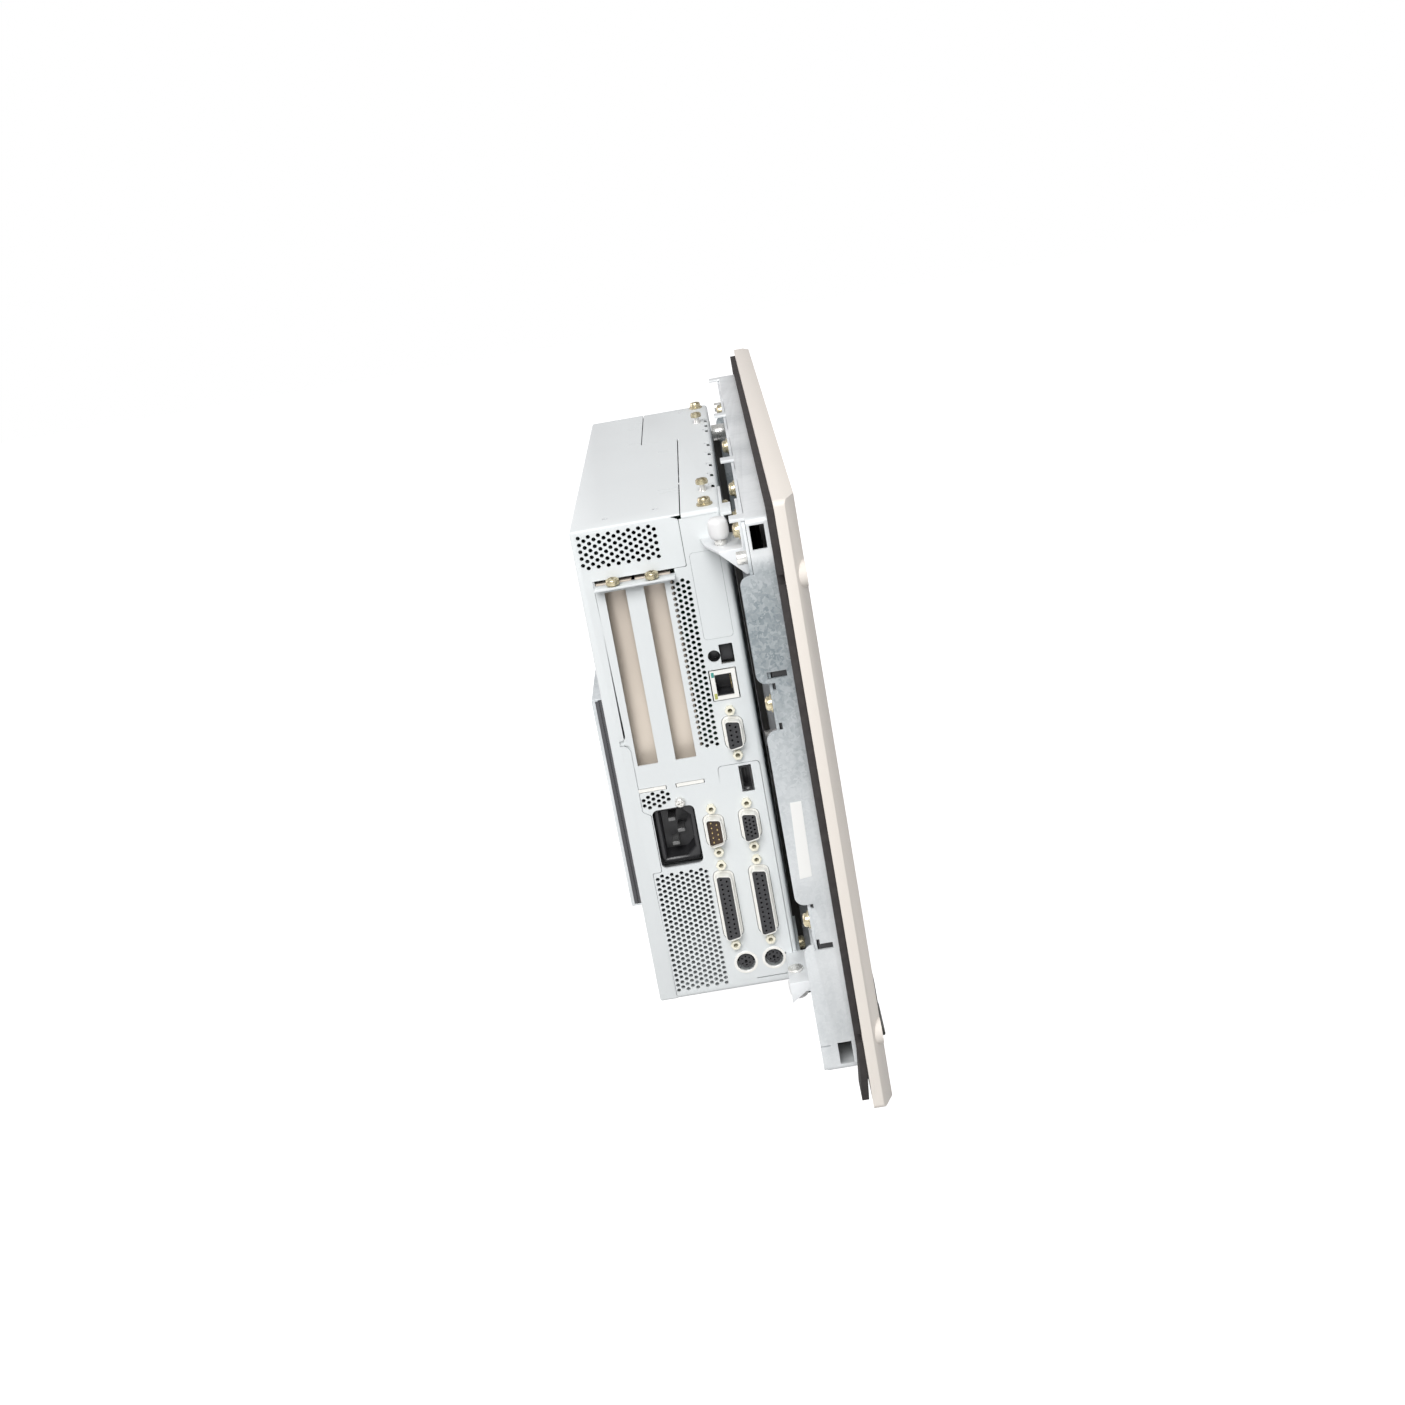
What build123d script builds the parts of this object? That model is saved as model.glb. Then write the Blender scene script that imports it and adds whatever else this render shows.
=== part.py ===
from build123d import *
from math import cos, radians, sin
import os

os.makedirs("parts", exist_ok=True)

# Axes: X to the right and Z up seen from the operator's side, Y from the operator to the rear.
# The origin is the centre of the front panel's rear face.

# Shared clearances and the overrun of cuts
overrun = 2.0
fit_gap = 0.3
sliding_gap = 0.15
bearing_gap = 0.05

# Front panel, 19 inch wide and 7 rack units high
panel_width = 482.6
panel_height = 310.3
panel_thickness = 10.1
panel_edge_depth = 5.1
panel_bevel_width = 11.0
panel_corner_radius = 3.0
rack_hole_span = 465.1
rack_hole_rise = 234.95
rack_slot_length = 10.3
rack_slot_radius = 3.4
rack_pad_radius = 6.3
half_width = panel_width / 2
half_height = panel_height / 2

# Screen, 15 inch
screen_width = 304.1
screen_height = 228.1
screen_thickness = 1.8
window_margin = 2.0
window_corner_radius = 2.0
glass_border = 8.5
glass_thickness = 3.1
panel_lip_thickness = 3.0
display_border_width = 11.0
display_border_height = 12.5
display_thickness = 11.0
display_rim = 4.0
display_gap = 1.0
window_width = screen_width + 2 * window_margin
window_height = screen_height + 2 * window_margin
glass_width = window_width + 2 * glass_border
glass_height = window_height + 2 * glass_border
display_width = screen_width + 2 * display_border_width
display_height = screen_height + 2 * display_border_height
glass_front = panel_lip_thickness - panel_thickness
display_front = glass_front + glass_thickness
display_back = display_front + display_thickness

# Sealing gasket on the panel's rear face
gasket_thickness = 3.5
gasket_inset = 4.0
gasket_side_width = 18.0
gasket_cross_width = 3.3
gasket_slot_gap = 0.4
loose_end_length = 18.0
loose_end_lift = 1.6

# Display tray of galvanised sheet
tray_sheet = 1.5
tray_half_width = 213.0
tray_top = 142.5
tray_bottom = -147.5
tray_depth = 21.0
tray_corner_radius = 3.0
tray_flange_width = 9.0
tray_step = 13.8
plate_front = 14.0
plate_gap = 0.3
notch_depth = 8.5
notch_corner_radius = 5.0
upper_notch_top = 61.0
upper_notch_bottom = 37.0
lower_notch_top = -55.0
lower_notch_bottom = -77.0
side_plate_top = 115.0
corner_window_height = 12.0
corner_window_front = 3.8
corner_window_margin = 2.0
clamp_slot_length = 9.5
clamp_slot_height = 3.4
clamp_slot_front = 6.2
upper_clamp_drop = 77.5
lower_clamp_rise = 69.0
hook_width = 9.0
hook_pitch = 136.8
hook_count = 4
tab_length = 13.0
tab_height = 16.5
tab_front = 12.5
cable_hole_width = 34.0
cable_hole_height = 14.0
cable_hole_drop = 40.0
fold_gap = 1.0
side_fold_inset = 17.0
side_fold_height = 255.0
bottom_fold_length = 325.0

# Pan screws of the sheet metal
screw_head_radius = 3.6
screw_head_height = 2.6
head_round_share = 0.45
washer_radius = 4.6
washer_thickness = 0.8
screw_shank_radius = 1.9
screw_shank_length = 3.5
screw_hole_radius = 2.1
plate_screw_drop = 8.5
top_screw_left = -108.0
top_screw_middle = 7.0
top_screw_right = 128.0

# Computer unit, a sheet-metal box carried behind the display
box_width = 297.0
box_height = 267.0
box_depth = 78.0
box_offset_x = 20.0
box_offset_z = -1.0
box_stand_off = 25.0
sheet = 1.2
hood_sheet = 1.0
hood_edge = 20.2
free_edge = 43.0
hood_step_x = 64.0
bend_radius = 2.0
box_left = box_offset_x - box_width / 2
box_right = box_offset_x + box_width / 2
box_bottom = box_offset_z - box_height / 2
box_top = box_offset_z + box_height / 2
box_front = box_stand_off
box_back = box_front + box_depth

# Hood flaps on the port side
flap_height = 28.0
flap_inset = 21.7
strip_width = 7.4
strip_foot_width = 9.0
strip_lower_width = 10.0
strip_inlet_width = 14.0
inlet_step_top = 159.5
inlet_step_bottom = 192.1
inlet_step_slope = 2.8
strip_break_top = 115.5
strip_break_bottom = 118.6
strip_break_depth = 5.0
strip_corner_radius = 4.0
lap_inside = 0.7
lap_outside = 4.0
lap_sheet = 1.0

# Vent field: one coarse pitch stands for the fine real one
vent_pitch = 4.56
vent_column_pitch = 3.95
vent_radius = 1.45
vent_sides = 6

# Hinge between the display tray and the computer unit
hinge_out = 27.0
shelf_clearance = 6.0
bracket_screw_rise = 8.0
bracket_screw_inset = 5.0
hinge_back = 27.3
shelf_sheet = 1.5
shelf_drop = 14.5
shelf_length = 35.5
shelf_reach = 37.8
shelf_shoulder = 28.8
shelf_slope_run = 19.3
shelf_tip_drop = 2.0
lower_shelf_reach = 31.5
guard_heel = 23.5
guard_heel_drop = 4.3
guard_tip_drop = 9.8
bracket_flange_height = 18.5
bracket_foot_height = 12.0
pin_radius = 2.475
pin_head_radius = 4.0
pin_head_height = 1.4
spacer_radius = 3.0
spacer_height = 3.0
bush_radius = 5.15
bush_height = 11.0
bush_cap = 1.2
ear_radius = 4.3
ear_sheet = 1.5
ear_rise = 7.0
leaf_sheet = 1.5
leaf_height = 14.0
leaf_on_box = 40.0
leaf_lip = 5.6

# Motherboard and its connectors
board_thickness = 1.6
board_lift = 3.0
board_width = 190.0
board_top_room = 18.6
board_inset = 2.0
stud_radius = 3.0
first_column = 12.9
column_pitch = 19.05
nose = 5.6
dsub_depth = 12.0
dsub_wall = 0.6
dsub_flange_thickness = 1.0
dsub_flange_height = 12.0
dsub_shell_thickness = 8.4
dsub_slope_share = 0.17
dsub_corner_radius = 2.2
nine_shell_length = 16.9
nine_flange_length = 30.8
wide_shell_length = 38.9
wide_flange_length = 53.0
nine_screw_pitch = 24.99
wide_screw_pitch = 47.04
jack_radius = 2.6
jack_height = 5.0
jack_hole_radius = 1.75
jack_thread_radius = 1.2
dsub_pin_radius = 0.5
pin_setback = 1.2
dsub_pin_pitch = 2.77
dsub_row_pitch = 2.84
serial_drop = 120.6
second_serial_drop = 173.1
video_drop = 173.0
printer_drop = 216.7

ethernet_drop = 93.9
ethernet_width = 14.0
ethernet_height = 16.7
ethernet_depth = 21.0
ethernet_mouth_width = 9.0
ethernet_mouth_height = 11.9
ethernet_mouth_depth = 14.0
ethernet_off = 0.5

usb_drop = 147.3
usb_off = -2.35
usb_thickness = 6.1
usb_height = 14.4
usb_depth = 14.0
usb_wall = 0.6
usb_tongue_thickness = 1.8
usb_tongue_height = 11.0

din_drop = 252.0
din_pitch = 15.3
din_radius = 5.0
din_depth = 13.0
din_bore_radius = 4.3
din_bore_depth = 8.0

# Push buttons beside the card cover
eject_drop = 77.6
eject_column = 9.4
eject_width = 6.6
eject_height = 10.2
eject_stand = 2.4
eject_travel = 1.8
eject_body = 7.0
reset_drop = 78.0
reset_column = 16.1
reset_radius = 3.0
reset_stand = 1.6
switch_gap = 0.6

# Expansion slots
slot_pitch = 20.32
slot_width = 11.0
slot_height = 96.4
slot_drop = 34.5
slot_column = 40.05
blank_width = 18.4
blank_top_over = 4.0
blank_sheet = 0.9
blank_tab = 9.0
blank_tail = 14.0
tail_slot_height = 2.5
tail_slot_width = 15.5
tail_slot_drop = 144.9
rail_width = 41.8
wall_screw_column = 47.4
wall_screw_drop = 154.2
wall_screw_share = 0.75

# Mains inlet and power supply
inlet_drop = 173.7
inlet_column = 52.0
inlet_width = 22.0
inlet_height = 33.0
inlet_collar = 2.2
inlet_rim = 3.0
inlet_flange_rim = 1.5
inlet_body_depth = 16.0
inlet_cavity_depth = 14.0
inlet_corner_radius = 4.0
inlet_flange = 1.5
inlet_chamfer = 4.5
inlet_pin_width = 4.0
inlet_pin_thickness = 2.0
inlet_pin_length = 11.0
inlet_pin_pitch = 14.0
inlet_earth_shift = 4.0
supply_depth = 37.0
supply_length = 150.0
supply_height = 70.0
supply_wall = 1.0

# Drive on the rear cover
drive_width = 126.4
drive_length = 127.0
drive_thickness = 9.5
drive_left_inset = 71.5
drive_drop = 118.0
drive_wall = 1.0
drive_gap = 0.3
drive_case_wall = 0.6
drive_cover_hem = 3.9
drive_cover_foot = 8.0
tray_front_depth = 5.0
disc_tray_thickness = 6.0
disc_radius = 60.5
disc_pocket_depth = 2.6
disc_hub_radius = 8.0
drive_button_width = 2.2
drive_button_drop = 10.5
drive_button_length = 12.0
drive_button_travel = 0.5

# Cooling and other inner pieces
fan_size = 60.0
fan_depth = 20.0
fan_wall = 2.0
fan_margin = 3.0
fan_bore_radius = 28.0
fan_hub_radius = 12.0
fan_blade_count = 7
fan_blade_gap = 1.5
fan_blade_thickness = 1.6
fan_blade_lean = 35.0
fan_blade_depth_share = 0.75
fan_strut_width = 4.0
fan_drop = 60.0
fan_axle_radius = 2.0
fan_vent_rings = 3
fan_vent_pitch = 7.5
sink_size = 60.0
sink_base = 4.0
sink_height = 22.0
sink_fin = 1.4
sink_fins = 10
sink_x = 20.0
sink_z = -70.0
chip_size = 45.0
chip_height = 4.0
memory_length = 133.4
memory_height = 31.8
memory_thickness = 1.3
memory_pitch = 10.0
memory_x = 45.0
memory_z = 35.0
memory_socket_height = 8.0
memory_socket_width = 6.5
disk_width = 69.9
disk_length = 100.2
disk_height = 9.5
disk_x = 118.0
disk_z = -60.0
disk_tray_sheet = 1.2
disk_tray_gap = 1.0
riser_height = 62.0
riser_length = 110.0
riser_left_inset = 22.0
riser_drop = 132.0
card_socket_width = 8.5
card_socket_height = 11.5
card_socket_length = 85.0

# Screws that stand on the box's top, and the clamp screws of its free side
stand_screw_radius = 3.4
stand_screw_height = 4.2
small_stand_radius = 2.6
small_stand_height = 4.0
stand_screw_back = 7.5
large_stand_left = 10.5
large_stand_right = 8.5
small_stand_left = 43.5
small_stand_right = 62.5
catch_screw_radius = 5.0
catch_head_height = 9.0
catch_shank_radius = 1.9
catch_inset = 22.0
catch_reach = 9.5
catch_spacer_radius = 5.5
catch_sheet = 1.5
catch_ear_length = 16.0
catch_ear_height = 15.0
catch_foot_depth = 19.0

# Front port and its rubber cover
port_x = -200.0
port_z = -109.0
port_case_thickness = 6.2
port_case_height = 14.6
port_case_depth = 15.0
port_case_wall = 0.6
port_recess_width = 14.0
port_recess_height = 24.0
port_recess_depth = 4.5
cover_width = 30.0
cover_height = 44.0
cover_thickness = 3.2
cover_bead_radius = 0.8
cover_plug_depth = 2.2
cover_plug_gap = 0.6
cover_corner_radius = 3.0
cover_lip_lift = 1.2


def across(y):
    """Sketch plane at depth y, with X to the right and Z up; a negative amount goes rearward."""
    return Plane.XZ.offset(-y)


def side(x):
    """Sketch plane at distance x, with Y to the right and Z up; a positive amount goes to +X."""
    return Plane.YZ.offset(x)


def level(z):
    """Sketch plane at height z."""
    return Plane.XY.offset(z)


def save(part, name):
    """Name the solid after its node and write its STEP file."""
    part.label = name
    export_step(part, "parts/" + name + ".step")


def hex_field(width, height):
    """Centres of a vent field: rows along local Y, every other column moved by half a pitch."""
    columns = int(width / vent_column_pitch) + 1
    rows = int(height / vent_pitch)
    places = []
    for column in range(columns):
        shift = (column % 2) * vent_pitch / 2
        across_place = (column - (columns - 1) / 2) * vent_column_pitch
        for row in range(rows):
            along_place = (row - (rows - 1) / 2) * vent_pitch + shift - vent_pitch / 4
            places.append((across_place, along_place))
    return places


# Front panel: bevelled side edges, raised pads round the rack slots, pocket for glass and display
rack_places = [
    (x_sign * rack_hole_span / 2, z_sign * rack_hole_rise / 2)
    for x_sign in (-1, 1)
    for z_sign in (-1, 1)
]
with BuildPart() as bezel:
    with BuildSketch(level(-half_height)):
        with BuildLine():
            Polyline(
                (-half_width, 0),
                (-half_width, -panel_edge_depth),
                (-half_width + panel_bevel_width, -panel_thickness),
                (half_width - panel_bevel_width, -panel_thickness),
                (half_width, -panel_edge_depth),
                (half_width, 0),
                close=True,
            )
        make_face()
    extrude(amount=panel_height)
    with BuildSketch(across(0)):
        with Locations(*rack_places):
            Circle(rack_pad_radius)
    extrude(amount=panel_thickness)
    with BuildSketch(across(0)):
        RectangleRounded(panel_width, panel_height, panel_corner_radius)
    extrude(amount=panel_thickness, mode=Mode.INTERSECT)
    with BuildSketch(across(0)):
        RectangleRounded(window_width, window_height, window_corner_radius)
    extrude(amount=panel_thickness, mode=Mode.SUBTRACT)
    with BuildSketch(across(0)):
        Rectangle(display_width + 2 * display_gap, display_height + 2 * display_gap)
    extrude(amount=-glass_front, mode=Mode.SUBTRACT)
    with BuildSketch(across(0)):
        with Locations(*rack_places):
            SlotOverall(rack_slot_length, 2 * rack_slot_radius)
    extrude(amount=panel_thickness, mode=Mode.SUBTRACT)
    with BuildSketch(across(-panel_thickness)):
        with Locations((port_x, port_z)):
            Rectangle(port_recess_width, port_recess_height)
    extrude(amount=-port_recess_depth, mode=Mode.SUBTRACT)
    with BuildSketch(across(0)):
        with Locations((port_x, port_z)):
            Rectangle(port_case_thickness + 2 * fit_gap, port_case_height + 2 * fit_gap)
    extrude(amount=panel_thickness, mode=Mode.SUBTRACT)
save(bezel.part, "bezel")

with BuildPart() as touch_glass:
    with BuildSketch(across(glass_front)):
        RectangleRounded(glass_width, glass_height, window_corner_radius)
    extrude(amount=-glass_thickness)
save(touch_glass.part, "touch_glass")

# Display module: a metal case with the screen lying in its open front
with BuildPart() as display_case:
    with BuildSketch(across(display_front)):
        Rectangle(display_width, display_height)
    extrude(amount=-display_thickness)
    with BuildSketch(across(display_front)):
        Rectangle(screen_width + 2 * fit_gap, screen_height + 2 * fit_gap)
    extrude(amount=-screen_thickness, mode=Mode.SUBTRACT)
    with BuildSketch(across(display_back)):
        Rectangle(display_width - 2 * display_rim, display_height - 2 * display_rim)
    extrude(amount=display_rim, mode=Mode.SUBTRACT)
save(display_case.part, "display_case")

with BuildPart() as lcd_screen:
    with BuildSketch(across(display_front + fit_gap)):
        Rectangle(screen_width, screen_height)
    extrude(amount=-(screen_thickness - fit_gap))
save(lcd_screen.part, "lcd_screen")

# Backlight supply and display controller, two boards behind the display module
rear_board_thickness = 1.6
inverter_width = 24.0
inverter_height = 120.0
inverter_inset = 31.0
controller_width = 90.0
controller_height = 60.0
controller_inset = 23.0
controller_drop = 36.5
board_part_height = 2.2
board_part_size = 14.0
rear_board_front = display_back - display_rim
inverter_x = display_width / 2 - inverter_inset - inverter_width / 2
controller_x = controller_inset + controller_width / 2 - display_width / 2
controller_z = display_height / 2 - controller_drop - controller_height / 2
with BuildPart() as inverter_board:
    with BuildSketch(across(rear_board_front)):
        with Locations((inverter_x, 0)):
            Rectangle(inverter_width, inverter_height)
    extrude(amount=-rear_board_thickness)
    with BuildSketch(across(rear_board_front + rear_board_thickness)):
        with GridLocations(0, inverter_height / 3, 1, 2):
            with Locations((inverter_x, 0)):
                Rectangle(board_part_size, 2 * board_part_size)
    extrude(amount=-board_part_height)
save(inverter_board.part, "inverter_board")

with BuildPart() as display_controller:
    with BuildSketch(across(rear_board_front)):
        with Locations((controller_x, controller_z)):
            Rectangle(controller_width, controller_height)
    extrude(amount=-rear_board_thickness)
    with BuildSketch(across(rear_board_front + rear_board_thickness)):
        with Locations((controller_x, controller_z)):
            with GridLocations(controller_width / 2, 0, 2, 1):
                Rectangle(board_part_size, board_part_size)
    extrude(amount=-board_part_height)
save(display_controller.part, "display_controller")

# Gasket: two long side strips with slots at the rack holes, and two cross strips between them
gasket_outer = half_width - gasket_inset
gasket_middle = gasket_outer - gasket_side_width / 2
gasket_top = half_height - gasket_inset
loose_start = -gasket_top + loose_end_length
with BuildPart() as gasket_side_strips:
    with BuildSketch(side(-gasket_outer)):
        with BuildLine():
            Polyline(
                (0, gasket_top),
                (0, loose_start),
                (loose_end_lift, -gasket_top),
                (loose_end_lift + gasket_thickness, -gasket_top),
                (gasket_thickness, loose_start),
                (gasket_thickness, gasket_top),
                close=True,
            )
        make_face()
    extrude(amount=gasket_side_width)
    with BuildSketch(across(0)):
        with Locations((gasket_middle, 0)):
            Rectangle(gasket_side_width, 2 * gasket_top)
    extrude(amount=-gasket_thickness)
    with BuildSketch(across(0)):
        with Locations(*rack_places):
            SlotOverall(rack_slot_length + 2 * gasket_slot_gap, 2 * (rack_slot_radius + gasket_slot_gap))
    extrude(amount=-gasket_thickness, mode=Mode.SUBTRACT)
save(gasket_side_strips.part, "gasket_side_strips")

with BuildPart() as gasket_cross_strips:
    with BuildSketch(across(0)):
        with GridLocations(0, 2 * gasket_top - gasket_cross_width, 1, 2):
            Rectangle(2 * (gasket_outer - gasket_side_width), gasket_cross_width)
    extrude(amount=-gasket_thickness)
save(gasket_cross_strips.part, "gasket_cross_strips")

# Display tray: one folded sheet with cut-outs along its rear edge and bent tabs for the screws
tray_height = tray_top - tray_bottom
tray_middle = (tray_top + tray_bottom) / 2
tray_inner = tray_half_width - tray_sheet
upper_clamp_z = tray_top - upper_clamp_drop
lower_clamp_z = tray_bottom + lower_clamp_rise
notch_places = [
    (upper_notch_bottom, upper_notch_top),
    (lower_notch_bottom, lower_notch_top),
]
top_screw_places = [
    (x, tray_top - plate_screw_drop)
    for x in (top_screw_left, top_screw_middle, top_screw_right)
]
with BuildPart() as display_tray:
    with BuildSketch(across(0)):
        with Locations((0, tray_middle)):
            RectangleRounded(2 * tray_half_width, tray_height, tray_corner_radius)
            RectangleRounded(
                2 * tray_inner,
                tray_height - 2 * tray_sheet,
                tray_corner_radius - tray_sheet,
                mode=Mode.SUBTRACT,
            )
    extrude(amount=-tray_depth)
    with BuildSketch(across(0)):
        with Locations((0, tray_middle)):
            Rectangle(2 * tray_inner + tray_sheet, tray_height - tray_sheet)
            Rectangle(
                2 * (tray_half_width - tray_flange_width),
                tray_height - 2 * tray_flange_width,
                mode=Mode.SUBTRACT,
            )
    extrude(amount=-tray_sheet)
    # The top wall is lower than the side plates and keeps four hooks at full height
    hook_root = tray_top - tray_corner_radius - tray_sheet
    with BuildSketch(level(hook_root)):
        with Locations((0, (tray_step + tray_depth + overrun) / 2)):
            Rectangle(2 * (tray_half_width + overrun), tray_depth + overrun - tray_step)
            with GridLocations(hook_pitch, 0, hook_count, 1):
                Rectangle(hook_width, tray_depth + 2 * overrun, mode=Mode.SUBTRACT)
    extrude(amount=tray_top + overrun - hook_root, mode=Mode.SUBTRACT)
    # Rear edge of the side walls: low at both ends, with a notch over each bent tab
    with BuildSketch(side(-tray_half_width - overrun)):
        with Locations((tray_step, side_plate_top)):
            Rectangle(tray_depth, hook_root - side_plate_top, align=(Align.MIN, Align.MIN))
        for bottom, top in notch_places:
            with Locations((tray_depth - notch_depth, bottom)):
                Rectangle(notch_depth + overrun, top - bottom, align=(Align.MIN, Align.MIN))
    extrude(amount=2 * (tray_half_width + overrun), mode=Mode.SUBTRACT)
    rear_corners = (
        display_tray.edges()
        .filter_by(Axis.X)
        .filter_by_position(Axis.Y, tray_depth - bearing_gap, tray_depth + bearing_gap)
        .filter_by(lambda edge: edge.length < 2 * tray_sheet)
    )
    fillet(rear_corners, notch_corner_radius)
    # Corner windows and clamp slots in both side walls
    with BuildSketch(side(-tray_half_width - overrun)):
        window_length = tray_step - 2 * tray_sheet - corner_window_front
        for place in (
            tray_top - tray_sheet - corner_window_height - corner_window_margin,
            tray_bottom + tray_sheet + corner_window_margin,
        ):
            with Locations((corner_window_front + tray_sheet, place)):
                Rectangle(window_length, corner_window_height, align=(Align.MIN, Align.MIN))
        for place in (upper_clamp_z, lower_clamp_z):
            with Locations((clamp_slot_front, place)):
                Rectangle(clamp_slot_length, clamp_slot_height, align=(Align.MIN, Align.CENTER))
    extrude(amount=2 * (tray_half_width + overrun), mode=Mode.SUBTRACT)
    # Bent tabs that carry the rear plate's screws
    with BuildSketch(across(tab_front)):
        for bottom, top in notch_places:
            for sign in (-1, 1):
                with Locations((sign * (tray_half_width - tab_length / 2), (bottom + top) / 2)):
                    Rectangle(tab_length, tab_height)
                    Circle(screw_hole_radius, mode=Mode.SUBTRACT)
        for x, z in top_screw_places:
            with Locations((x, tray_top)):
                Rectangle(tab_height, tab_length, align=(Align.CENTER, Align.MAX))
            with Locations((x, z)):
                Circle(screw_hole_radius, mode=Mode.SUBTRACT)
    extrude(amount=-(plate_front - tab_front))
save(display_tray.part, "display_tray")

# Places of the hinge and of the catch screws, which the rear plate carries
plate_back = plate_front + tray_sheet
hinge_x = box_left - hinge_out
hinge_y = hinge_back
shelf_top = box_top - shelf_drop
shelf_outer = box_left - shelf_length - shelf_clearance
shelf_inner = shelf_outer + shelf_length
shelf_tip = shelf_outer + shelf_slope_run
bracket_front = plate_back
upper_flange_screws = [
    (shelf_outer + bracket_screw_inset, shelf_top + bracket_screw_rise),
    (shelf_inner - bracket_screw_inset, shelf_top + bracket_screw_rise),
]
lower_flange_screws = [(x, 2 * box_offset_z - z) for x, z in upper_flange_screws]
catch_x = box_right + catch_reach
catch_places = [(catch_x, box_offset_z + sign * (box_height / 2 - catch_inset)) for sign in (-1, 1)]

# Rear plate of the tray, with a hole for the cables to the computer unit
plate_half_width = tray_inner - plate_gap
plate_top = tray_top - tray_sheet - plate_gap
plate_bottom = tray_bottom + tray_sheet + plate_gap
side_screw_places = [
    (sign * (tray_half_width - tab_length / 2), (bottom + top) / 2)
    for sign in (-1, 1)
    for bottom, top in notch_places
]
plate_screw_places = side_screw_places + top_screw_places
with BuildPart() as tray_rear_plate:
    with BuildSketch(across(plate_front)):
        with Locations((0, (plate_top + plate_bottom) / 2)):
            RectangleRounded(2 * plate_half_width, plate_top - plate_bottom, tray_corner_radius)
        with Locations((box_left - hinge_out / 2, box_top - cable_hole_drop)):
            SlotOverall(cable_hole_width, cable_hole_height, mode=Mode.SUBTRACT)
        with Locations(*plate_screw_places, *upper_flange_screws, *lower_flange_screws, *catch_places):
            Circle(screw_hole_radius, mode=Mode.SUBTRACT)
    extrude(amount=-tray_sheet)
    # Stiffening folds along the bottom and on the free side, clear of the box
    with BuildSketch(across(plate_back)):
        with Locations((plate_half_width - side_fold_inset, plate_bottom)):
            Rectangle(tray_sheet, side_fold_height, align=(Align.MAX, Align.MIN))
            Rectangle(bottom_fold_length, tray_sheet, align=(Align.MAX, Align.MIN))
    extrude(amount=-(box_front - fold_gap - plate_back))
save(tray_rear_plate.part, "tray_rear_plate")


def pan_screw(shank_length, head_radius=screw_head_radius, washer=washer_radius):
    """Pan-head screw with a washer; its seat is at the origin and its shank runs to -Z."""
    with BuildPart() as screw:
        with BuildSketch(Plane.XY):
            Circle(washer)
        extrude(amount=washer_thickness)
        with BuildSketch(level(washer_thickness)):
            Circle(head_radius)
        extrude(amount=screw_head_height)
        chamfer(screw.edges().group_by(Axis.Z)[-1], screw_head_height * head_round_share)
        with BuildSketch(Plane.XY):
            Circle(screw_shank_radius)
        extrude(amount=-shank_length)
    return screw.part


def rearward(x, y, z):
    """Place whose local Z points to the rear."""
    return Plane(origin=(x, y, z), x_dir=(1, 0, 0), z_dir=(0, 1, 0))


def portward(x, y, z):
    """Place whose local Z points out of the port side."""
    return Plane(origin=(x, y, z), x_dir=(0, 1, 0), z_dir=(-1, 0, 0))


# Screws of the tray's rear plate
with BuildPart() as tray_screws:
    for x, z in plate_screw_places:
        add(rearward(x, plate_back, z) * pan_screw(tray_sheet + screw_shank_length))
save(tray_screws.part, "tray_screws")

# Guide pins at the tray's upper corners
guide_pin_radius = 3.25
guide_pin_length = 5.0
guide_pin_inset = 5.5
guide_pin_drop = 20.0
with BuildPart() as guide_pins:
    for sign in (-1, 1):
        with BuildSketch(across(plate_back)):
            with Locations((sign * (plate_half_width - guide_pin_inset), tray_top - guide_pin_drop)):
                Circle(guide_pin_radius)
        extrude(amount=-guide_pin_length)
save(guide_pins.part, "guide_pins")

# Hinge brackets on the tray: a flange on the rear plate and a shelf that carries the pin


def tray_bracket(shelf_outline, gusset_outline):
    """Hinge bracket of the display tray, as it lies at the upper hinge."""
    with BuildPart() as bracket:
        with BuildSketch(level(shelf_top - shelf_sheet)):
            with BuildLine():
                Polyline(*shelf_outline, close=True)
            make_face()
            with Locations((hinge_x, hinge_y)):
                Circle(pin_radius, mode=Mode.SUBTRACT)
        extrude(amount=shelf_sheet)
        with BuildSketch(across(bracket_front)):
            with Locations(((shelf_outer + shelf_inner) / 2, shelf_top - shelf_sheet - bracket_foot_height)):
                Rectangle(
                    shelf_length, bracket_flange_height + bracket_foot_height, align=(Align.CENTER, Align.MIN)
                )
            with Locations(*upper_flange_screws):
                Circle(screw_hole_radius, mode=Mode.SUBTRACT)
        extrude(amount=-shelf_sheet)
        with BuildSketch(side(shelf_outer)):
            with BuildLine():
                Polyline(*gusset_outline, close=True)
            make_face()
        extrude(amount=shelf_sheet)
    return bracket.part


# The upper shelf reaches further and has its gusset on the pin head's side
upper_shelf = [
    (shelf_outer, bracket_front),
    (shelf_outer, shelf_shoulder),
    (shelf_tip, shelf_reach - shelf_tip_drop),
    (shelf_inner, shelf_reach),
    (shelf_inner, bracket_front),
]
upper_gusset = [
    (bracket_front, shelf_top - shelf_sheet),
    (shelf_shoulder, shelf_top - shelf_sheet),
    (bracket_front + shelf_sheet, shelf_top - shelf_sheet - bracket_foot_height),
    (bracket_front, shelf_top - shelf_sheet - bracket_foot_height),
]
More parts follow.
